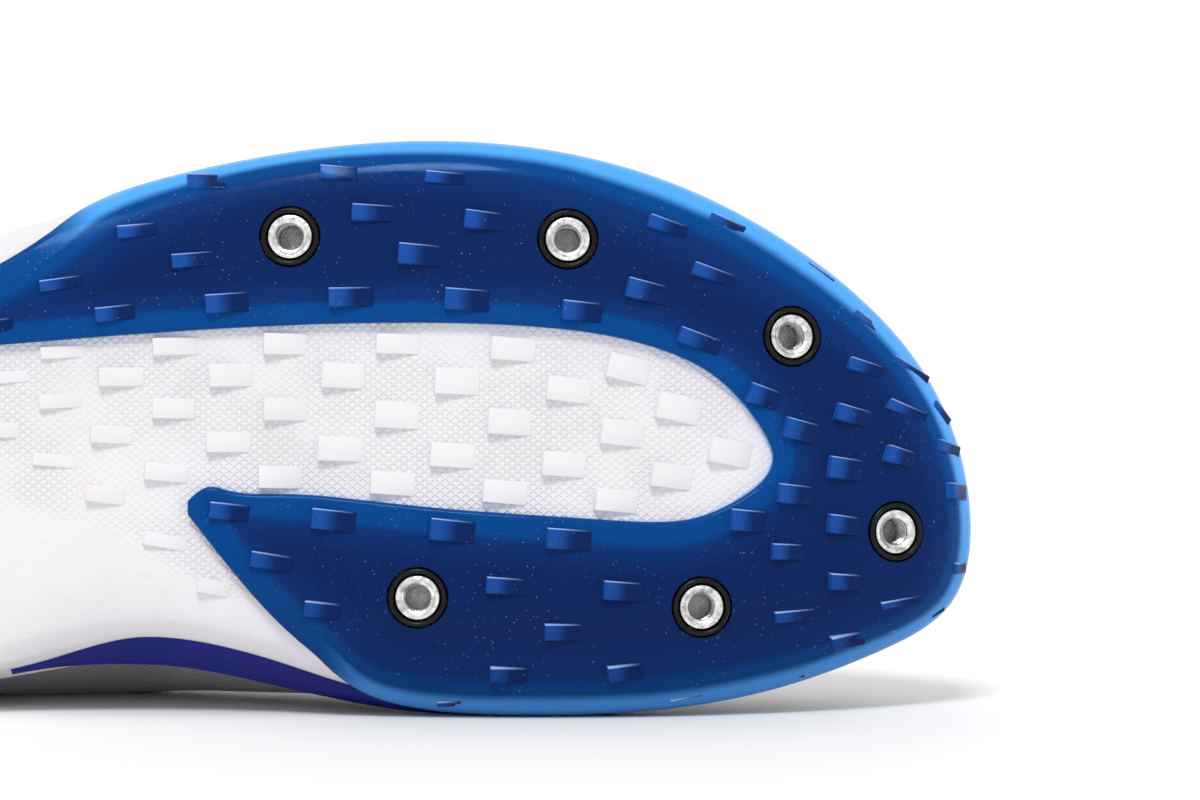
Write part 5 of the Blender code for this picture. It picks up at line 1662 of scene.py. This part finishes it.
class SPIKESHOE_OT_plate(ShoeOperator, bpy.types.Operator):
    """Model the glossy spike plate that wraps the rim of the forefoot, with its lugs"""

    bl_idname = "spike_shoe.plate"
    bl_label = "Spike Plate"

    def execute(self, context):
        section, border, along = plate_surface()
        section = np.concatenate([section, section[:1]])
        border = np.concatenate([border, border[:1]])
        uv = np.stack([np.broadcast_to(along, border.shape), border], axis=-1) * 0.001
        piece = laid_grid("spike_plate", section, uv)
        cut(piece, seat_holes())
        shade(piece, 38.0)
        plastic = self.finish("blue_plate", plate_finish, self.colours)
        dress(piece, plastic, "plate", "spike_plate")
        front = PLATE_GAP + PLATE_THICK
        lug_group("plate_lugs", (*PLATE_LUGS, *RIM_LUGS), PLATE_LUG_HEIGHT, front, plastic, "plate")
        return {"FINISHED"}


class SPIKESHOE_OT_inserts(ShoeOperator, bpy.types.Operator):
    """Spin the threaded inserts and their black collars, and set a copy in each seat"""

    bl_idname = "spike_shoe.inserts"
    bl_label = "Spike Inserts"

    def execute(self, context):
        steel = self.finish("turned_steel", steel_finish, self.colours)
        black = self.finish("black_collar", black_finish, self.colours)
        insert = spun("spike_insert", insert_rows(self.sizes.thread_pitch * 1000))
        ring = spun("insert_ring", RING_ROWS)
        for pattern in (insert, ring):
            points = mesh_points(pattern)
            radius = np.hypot(points[:, 0], points[:, 1])
            turn = np.arctan2(points[:, 1], points[:, 0]) * 0.003
            unwrap(pattern.data, np.column_stack([turn, radius - points[:, 2]]))
            sunk = (-points[:, 2] * 1000 - BORE_FROM) / BORE_FADE
            # Painted shade: the bore gets darker with depth
            paint(pattern, "bore", smooth_step(sunk) * (radius * 1000 < BORE_RADIUS))
        for index, (x, y) in enumerate(SPIKE_SEATS, 1):
            place = seat_frame(x, y)
            for pattern, finish, slot in ((insert, steel, "insert"), (ring, black, "ring")):
                node = f"{pattern.name}_{index}"
                piece = copy_of(pattern, f"{node}_turned")
                piece.data.transform(place @ Matrix.Rotation(0.7 * index, 4, "Z"))
                self.shadow_arc(piece, place, 0.4 * math.sin(2.1 * index))
                shade(piece, 30.0)
                dress(piece, finish, slot, node)
        for pattern in (insert, ring):
            bpy.data.objects.remove(pattern, do_unlink=True)
        return {"FINISHED"}

    def shadow_arc(self, piece, place, swing):
        """Darkens the chamfer where it turns away from the light, up and towards the heel."""
        flat = place.inverted()
        points = np.array([flat @ vertex.co for vertex in piece.data.vertices])
        up = flat.to_3x3() @ Vector(CHAMFER_SHADE_SIDE)
        turn = np.arctan2(points[:, 1], points[:, 0]) - math.atan2(up.y, up.x) - swing
        radius = np.hypot(points[:, 0], points[:, 1]) * 1000
        inner, outer = CHAMFER_RADII
        ring = smooth_step((radius - inner) / 0.2) * smooth_step((outer - radius) / 0.3)
        paint(piece, "chamfer_shade", smooth_step(np.cos(turn) * 2.4 - 1.4) * ring)


class SPIKESHOE_OT_band(ShoeOperator, bpy.types.Operator):
    """Model the ribbed violet band along the side of the sole"""

    bl_idname = "spike_shoe.band"
    bl_label = "Side Band"

    def execute(self, context):
        places = np.linspace(PLACE_OF[BAND_TO] - 1, PLACE_OF[BAND_FROM], 420)
        along = (places - places[0]) / (places[-1] - places[0])
        end = smooth_step(np.minimum(along, 1 - along) / BAND_FADE)
        near_arch = smooth_step((places - PLACE_OF["ball rear medial"]) / 0.04)
        low = 0.5 + (BAND_LOW - BAND_ARCH_DROP * near_arch - 0.5) * (0.08 + 0.92 * end)
        high = 0.5 + (BAND_TOP - 0.5) * (0.06 + 0.94 * end)
        smooth = 1 - 0.8 * smooth_step((places - PLACE_OF["medial waist"]) / 0.03)
        full = BAND_BACK + BAND_THICK * (0.45 + 0.55 * end)
        ribs, depth = self.sizes.ribs, self.sizes.rib_depth * 1000
        outer = []
        for share in np.linspace(0, 1, 10 * ribs + 1):
            wander = 0.12 * np.sin(places * 95 + 3 * share) + 0.08 * np.sin(places * 41)
            turns = ribs * share + wander * math.sin(math.pi * share)
            wave = 0.5 - 0.5 * np.cos(2 * math.pi * turns)
            groove = depth * end * smooth * (1 - wave**0.8)
            round_off = 0.33 * (1 - smooth_step(min(share, 1 - share) / 0.06))
            outer.append(wall_point(places, low + (high - low) * share, full - groove - round_off * full))
        back = [wall_point(places, low + (high - low) * share, 0.1) for share in (1.0, 0.5, 0.0)]
        piece = laid_grid("side_band", np.array(outer + back + outer[:1]))
        shade(piece, 45.0)
        violet = self.finish("violet_foam", violet_finish, "violet_foam", self.colours.violet, 0.36)
        dress(piece, violet, "violet_band", "side_band")
        return {"FINISHED"}


class SPIKESHOE_OT_upper(ShoeOperator, bpy.types.Operator):
    """Model the textile upper with its padded collar, bound edge and eyelets"""

    bl_idname = "spike_shoe.upper"
    bl_label = "Upper"

    def creases(self, points):
        """Depth of the soft flex creases at points of the upper."""
        depth = np.zeros(len(points))
        reach = smooth_step((points[:, 2] - CREASE_FOOT) / CREASE_FADE)
        for x, slope, deep, wide in CREASES:
            line = x + slope * (points[:, 1] - CREASE_MIDDLE)
            depth += deep * reach * np.exp(-(((points[:, 0] - line) / wide) ** 2))
        return depth

    def execute(self, context):
        places = paired_places(130)
        places = np.append(places, places[0] + 1)
        outer = []
        for share in np.linspace(0, 1, 46):
            outer.append(upper_skin(places, share, -self.creases(upper_point(places, share))))
        inner = []
        for share in np.linspace(1, 0, 26):
            inner.append(upper_skin(places, share, -wall_thickness(places, share)))
        piece = laid_grid("upper", np.array(outer + inner + outer[:1]))
        textile = self.finish("grey_textile", textile_finish, self.colours.textile, self.sizes.cloth_pitch)
        lining = self.lining()
        piece.data.materials.clear()
        piece.data.materials.append(textile)
        piece.data.materials.append(lining)
        self.line_inside(piece)
        cut(piece, eyelet_holes())
        shade(piece, 50.0)
        dress(piece, None, "textile", "upper")
        self.binding(places[:-1], lining)
        return {"FINISHED"}

    def line_inside(self, piece):
        """Gives the inner face its lining: faces that look towards the middle of the shoe."""
        mesh = piece.data
        centre = np.zeros(len(mesh.polygons) * 3)
        normal = np.zeros(len(mesh.polygons) * 3)
        mesh.polygons.foreach_get("center", centre)
        mesh.polygons.foreach_get("normal", normal)
        centre = (centre.reshape(-1, 3) - SHIFT) @ TURN * 1000
        normal = normal.reshape(-1, 3) @ TURN
        x = centre[:, 0]
        middle_y = np.interp(x, MIDDLE_X, MIDDLE_Y)
        middle = np.column_stack([np.clip(x, *MIDDLE_ENDS), middle_y, np.full(len(x), MIDDLE_HEIGHT)])
        inwards = ((middle - centre) * normal).sum(axis=1) > 0
        mesh.polygons.foreach_set("material_index", inwards.astype(int))

    def binding(self, places, finish):
        """Rolled tape round the collar and throat."""
        outside = upper_skin(places, 1.0, 0.0)
        inner = upper_skin(places, 1.0, -wall_thickness(places, 1.0))
        below = upper_skin(places, share_from_edge(places, 2.0), -0.5 * wall_thickness(places, 1.0))
        path = 0.5 * (outside + inner)
        faces = path - below
        faces /= np.linalg.norm(faces, axis=1, keepdims=True)
        wall = np.linalg.norm(outside - inner, axis=1)
        _, side, face = frames_along(path, faces, closed=True)
        loops = []
        for turn in np.linspace(0, 2 * math.pi, 14, endpoint=False):
            across = side * ((0.5 * wall + 0.28) * math.cos(turn))[:, None]
            loops.append(path + across + face * (0.9 * math.sin(turn) - 0.35))
        points = np.array(loops + [loops[0]])
        piece = laid_grid("collar_binding", np.concatenate([points, points[:, :1]], axis=1))
        shade(piece, 60.0)
        dress(piece, finish, "lining")


class SPIKESHOE_OT_overlays(ShoeOperator, bpy.types.Operator):
    """Lay the eyestay and the heel counter on the upper, with their stitches"""

    bl_idname = "spike_shoe.overlays"
    bl_label = "Overlays"

    def patch(self, name, places, low, high, rows, film, holes=()):
        """A thin film on the upper between two heights, with its holes and rounded borders."""
        shares = [low + (high - low) * step for step in np.linspace(0, 1, rows)]
        face = [upper_skin(places, share, OVERLAY_FACE) for share in shares]
        back = [upper_skin(places, share, OVERLAY_BACK) for share in (shares[-1], shares[0])]
        piece = laid_grid(name, np.array(face + back + face[:1]))
        soften(piece, OVERLAY_ROUND)
        if holes:
            cut(piece, holes)
        shade(piece, 40.0)
        return dress(piece, film, "overlay", name)

    def seam(self, name, places, shares, lift):
        """A row of stitches over the upper."""
        path = upper_skin(places, shares, lift)
        return stitch_run(name, path, skin_facing(places, shares), self.sizes.stitch_pitch * 1000)

    def execute(self, context):
        film = self.finish("violet_overlay", violet_finish, "violet_overlay", self.colours.overlay, 0.42)
        thread = self.finish("stitch_thread", thread_finish, self.colours)
        start, stop = PLACE_OF["lateral waist"] + 0.012 - 1, PLACE_OF["medial waist rear"] - 0.012
        throat = np.linspace(start, stop, 260)
        low, high = share_from_edge(throat, EYESTAY_WIDTH), share_from_edge(throat, 0.5)
        self.patch("eyestay", throat, low, high, 14, film, eyelet_holes())

        first, last = PLACE_OF["medial heel front"] + 0.01, PLACE_OF["lateral heel front"] - 0.01
        heel = np.linspace(first, last, 160)
        off = np.abs(heel - PLACE_OF["heel back"]) / (last - PLACE_OF["heel back"])
        top = COUNTER_TOP - COUNTER_FALL * off**3
        self.patch("heel_counter", heel, COUNTER_LOW, top, 24, film)

        collar = np.linspace(PLACE_OF["medial waist rear"] - 0.02, PLACE_OF["lateral waist"] + 0.02, 220)
        on_film = OVERLAY_FACE + 0.06
        runs = [
            self.seam("eyestay_outer", throat, share_from_edge(throat, EYESTAY_WIDTH - 1.6), on_film),
            self.seam("eyestay_inner", throat, share_from_edge(throat, 2.0), on_film),
            self.seam("counter_top", heel, top - 0.02, on_film),
            self.seam("counter_second", heel, top - 0.052, on_film),
            self.seam("collar_seam", collar, share_from_edge(collar, 5.0), 0.06),
        ]
        dress(joined("stitches", runs), thread, "lace")
        return {"FINISHED"}


class SPIKESHOE_OT_tongue(ShoeOperator, bpy.types.Operator):
    """Model the padded tongue under the throat"""

    bl_idname = "spike_shoe.tongue"
    bl_label = "Tongue"

    def under(self, place, inset):
        """A point inside the upper, beside the throat's edge."""
        place = np.array([place])
        share = share_from_edge(place, inset)
        return upper_skin(place, share, -wall_thickness(place, share) - 3 * GAP)[0]

    def rows(self):
        """Rows across the tongue, from its front to its free end."""
        for lateral, medial, insets in TONGUE_FRONT:
            places = [throat_pair(x)[0] for x in lateral] + [throat_pair(x)[1] for x in medial]
            yield [self.under(place, inset) for place, inset in zip(places, insets)]
        for x in TONGUE_PAIRS:
            lateral, medial = throat_pair(x)
            near, far = self.under(lateral, 1.0), self.under(medial, 1.0)
            middle = []
            for share in (0.3, 0.5, 0.7):
                crown = np.array([0, 0, 1.6 * (1 - (2 * share - 1) ** 2)])
                middle.append(near + (far - near) * share + crown)
            yield [self.under(lateral, TONGUE_UNDER), near, *middle, far, self.under(medial, TONGUE_UNDER)]
        spread = np.array([-1.0, -0.8, -0.4, 0.0, 0.4, 0.8, 1.0])
        for x, z, half in TONGUE_TOP:
            yield list(np.column_stack([np.full(7, x), TONGUE_MIDDLE + half * spread, z - 4.0 * spread**2]))

    def execute(self, context):
        rows = np.array([[np.asarray(point) for point in row] for row in self.rows()])
        wide, tall = np.linspace(0, 1, rows.shape[1]), np.linspace(0, 1, rows.shape[0])
        columns, loops = np.linspace(0, 1, TONGUE_COLUMNS), np.linspace(0, 1, TONGUE_LOOPS)
        across = np.array([spline_through(wide, row)(columns) for row in rows])
        surface = spline_through(tall, across.reshape(len(rows), -1))(loops)
        surface = surface.reshape(TONGUE_LOOPS, TONGUE_COLUMNS, 3)
        below = np.cross(np.gradient(surface, axis=0), np.gradient(surface, axis=1))
        below /= np.linalg.norm(below, axis=-1, keepdims=True)
        below *= np.where(below[..., 2:3] > 0, -1, 1)
        ends, sides = np.minimum(loops, loops[::-1])[:, None], np.minimum(columns, columns[::-1])[None]
        thin = smooth_step(np.minimum(ends * 24, sides * 16)) ** 0.5
        thick = TONGUE_THICK * (0.25 + 0.75 * thin)[..., None]
        middle = surface + below * 0.5 * TONGUE_THICK
        top, bottom = middle - below * 0.5 * thick, middle + below * 0.5 * thick
        piece = laid_grid("tongue", np.concatenate([top, bottom[:, ::-1], top[:, :1]], axis=1))
        shade(piece, 60.0)
        bright = shaded(self.colours.textile, 1.2)
        cloth = self.finish("tongue_mesh", knit_finish, "tongue_mesh", bright, 0.0014)
        dress(piece, cloth, "textile", "tongue")
        return {"FINISHED"}


class SPIKESHOE_OT_laces(ShoeOperator, bpy.types.Operator):
    """Lace the shoe with one flat lace: a straight bar, then crossings up to the top eyelets"""

    bl_idname = "spike_shoe.laces"
    bl_label = "Laces"

    def execute(self, context):
        woven = self.finish("white_lace", lace_finish, self.colours)
        lateral, medial = eyelet_pair(0)
        points, faces = [], []
        ends = ((lateral, EYELET_INSET), (lateral, 0.0), (medial, 0.0), (medial, EYELET_INSET))
        for place, inset in ends:
            points.append(lace_end(place, inset, LACE_LIFT + (0.0 if inset else LACE_BEND)))
            faces.append(lace_facing(place, inset))
        points.insert(2, 0.5 * (points[1] + points[2]) + np.array([0, 0, LACE_HUMP]))
        faces.insert(2, np.array(THROAT_FACE))
        bar = ribbon("lace_bar", points, faces, self.sizes)
        shade(bar, 50.0)
        dress(bar, woven, "lace", "lace_bar")
        for index in range(len(EYELET_PLACES) - 1):
            strands = [self.strand(index, side) for side in (0, 1)]
            crossing = joined(f"lace_crossing_{index + 1}", strands)
            shade(crossing, 50.0)
            dress(crossing, woven, "lace", f"lace_crossing_{index + 1}")
        return {"FINISHED"}

    def strand(self, index, side):
        """One strand of a crossing, over or under the other."""
        start, end = eyelet_pair(index)[side], eyelet_pair(index + 1)[1 - side]
        target = lace_end(end, 0.0, 0.0)
        middle = 0.5 * (lace_end(start, 0.0, 0.0) + target)
        middle = middle + np.array([0, 0, CROSSING_RISE + (OVER_RISE if side else 0.0)])
        points = [middle, throat_stop(end, middle)]
        faces = [np.array(THROAT_FACE), np.array(THROAT_FACE)]
        if index == 0:
            points.insert(0, throat_stop(start, target) + np.array(FIRST_STRAND))
            faces.insert(0, np.array(THROAT_FACE))
        else:
            rim = lace_end(start, 0.0, LACE_LIFT + LACE_BEND)
            rim = rim + (target - lace_end(start, 0.0, 0.0)) * 0.04
            points = [lace_end(start, EYELET_INSET, LACE_LIFT), rim, *points]
            faces = [lace_facing(start, EYELET_INSET), lace_facing(start, 0.0), *faces]
        return ribbon(f"strand_{index}_{side}", points, faces, self.sizes)


class SPIKESHOE_OT_insole(ShoeOperator, bpy.types.Operator):
    """Model the removable insole"""

    bl_idname = "spike_shoe.insole"
    bl_label = "Insole"

    def execute(self, context):
        places, spine = section_places(90)
        low = bed_point(places, INSOLE_INSET, 2 * GAP)
        rings = []
        for share, lift in INSOLE_RINGS:
            plan = spine + (low[:, :2] - spine) * share
            rings.append(np.column_stack([plan, profile(plan[:, 0])[:, 1] + 2 * GAP + lift]))
        piece = laid_grid("insole", np.array(rings))
        shade(piece, 50.0)
        dress(piece, self.lining(), "lining", "insole")
        return {"FINISHED"}


class SPIKESHOE_OT_studio(ShoeOperator, bpy.types.Operator):
    """Set the pale floor, the soft lights and the camera at the photograph's angle"""

    bl_idname = "spike_shoe.studio"
    bl_label = "Studio"

    def sweep(self):
        """A floor that curves up into a white wall behind the shoe."""
        deselect()
        bpy.ops.mesh.primitive_plane_add(size=2.0)
        floor = bpy.context.object
        floor.name = "studio_floor"
        for vertex in floor.data.vertices:
            vertex.co.x *= FLOOR_HALF
            vertex.co.y = FLOOR_BACK if vertex.co.y > 0 else FLOOR_FRONT
        edit_all(floor)
        bpy.ops.mesh.select_all(action="DESELECT")
        bpy.ops.object.mode_set(mode="OBJECT")
        for edge_ in floor.data.edges:
            edge_.select = all(floor.data.vertices[i].co.y > 0 for i in edge_.vertices)
        bpy.ops.object.mode_set(mode="EDIT")
        bpy.ops.mesh.select_mode(type="EDGE")
        centre = (0.0, FLOOR_BACK, CURVE_RADIUS)
        bpy.ops.mesh.spin(steps=24, angle=0.5 * math.pi, center=centre, axis=(-1.0, 0.0, 0.0))
        bpy.ops.mesh.extrude_region_move(TRANSFORM_OT_translate={"value": (0.0, 0.0, ROOM_HEIGHT)})
        bpy.ops.mesh.select_all(action="SELECT")
        bpy.ops.mesh.remove_doubles(threshold=1e-5)
        bpy.ops.object.mode_set(mode="OBJECT")
        shade(floor, 30.0)
        return floor

    def execute(self, context):
        studio = context.scene.spike_shoe_studio
        floor = self.sweep()
        floor.data.materials.append(floor_finish(tuple(self.colours.floor)))

        look = Vector(lay(LOOK_AT).tolist())
        rise = studio.elevation
        place = look + Vector((0, -math.cos(rise), math.sin(rise))) * studio.distance
        deselect()
        bpy.ops.object.camera_add(location=place)
        camera = bpy.context.object
        camera.name = "photo_camera"
        camera.data.lens = studio.lens
        camera.data.sensor_width = 36.0
        camera.data.clip_start = 0.01
        camera.data.clip_end = 60.0
        camera.rotation_euler = (look - place).to_track_quat("-Z", "Y").to_euler()
        context.scene.camera = camera

        deselect()
        bpy.ops.object.light_add(type="SUN", location=(-0.2, -1.0, 1.5))
        sun = bpy.context.object
        sun.name = "overhead_light"
        sun.data.energy = studio.key
        sun.data.angle = studio.softness
        sun.rotation_euler = Vector(SUN_WAY).to_track_quat("-Z", "Y").to_euler()
        world = context.scene.world or bpy.data.worlds.new("white_room")
        context.scene.world = world
        world.use_nodes = True
        background = world.node_tree.nodes["Background"]
        background.inputs["Color"].default_value = (1.0, 1.0, 1.0, 1.0)
        background.inputs["Strength"].default_value = studio.world
        context.scene.view_settings.view_transform = "Standard"
        return {"FINISHED"}


class SPIKESHOE_PT_panel(bpy.types.Panel):
    """Pieces of the track spike shoe"""

    bl_idname = "SPIKESHOE_PT_panel"
    bl_label = "Track Spike Shoe"
    bl_space_type = "VIEW_3D"
    bl_region_type = "UI"
    bl_category = "Track Spike"

    def draw(self, context):
        for group in (
            context.scene.spike_shoe_sizes,
            context.scene.spike_shoe_colours,
            context.scene.spike_shoe_studio,
        ):
            box = self.layout.box()
            for key in group.bl_rna.properties.keys():
                if key not in ("rna_type", "name"):
                    box.prop(group, key)
        for operator in OPERATORS:
            self.layout.operator(operator.bl_idname)


OPERATORS = (
    SPIKESHOE_OT_sole,
    SPIKESHOE_OT_plate,
    SPIKESHOE_OT_inserts,
    SPIKESHOE_OT_band,
    SPIKESHOE_OT_upper,
    SPIKESHOE_OT_overlays,
    SPIKESHOE_OT_tongue,
    SPIKESHOE_OT_laces,
    SPIKESHOE_OT_insole,
    SPIKESHOE_OT_studio,
)
GROUPS = {
    "spike_shoe_sizes": SpikeShoeSizes,
    "spike_shoe_colours": SpikeShoeColours,
    "spike_shoe_studio": SpikeShoeStudio,
}


def register():
    for group in GROUPS.values():
        bpy.utils.register_class(group)
    for name, group in GROUPS.items():
        setattr(bpy.types.Scene, name, bpy.props.PointerProperty(type=group))
    for operator in OPERATORS:
        bpy.utils.register_class(operator)
    bpy.utils.register_class(SPIKESHOE_PT_panel)


def unregister():
    bpy.utils.unregister_class(SPIKESHOE_PT_panel)
    for operator in reversed(OPERATORS):
        bpy.utils.unregister_class(operator)
    for name in GROUPS:
        delattr(bpy.types.Scene, name)
    for group in reversed(GROUPS.values()):
        bpy.utils.unregister_class(group)


def main():
    register()
    bpy.ops.spike_shoe.sole()
    bpy.ops.spike_shoe.plate()
    bpy.ops.spike_shoe.inserts()
    bpy.ops.spike_shoe.band()
    bpy.ops.spike_shoe.upper()
    bpy.ops.spike_shoe.overlays()
    bpy.ops.spike_shoe.tongue()
    bpy.ops.spike_shoe.laces()
    bpy.ops.spike_shoe.insole()
    bpy.ops.spike_shoe.studio()


if __name__ == "__main__":
    main()
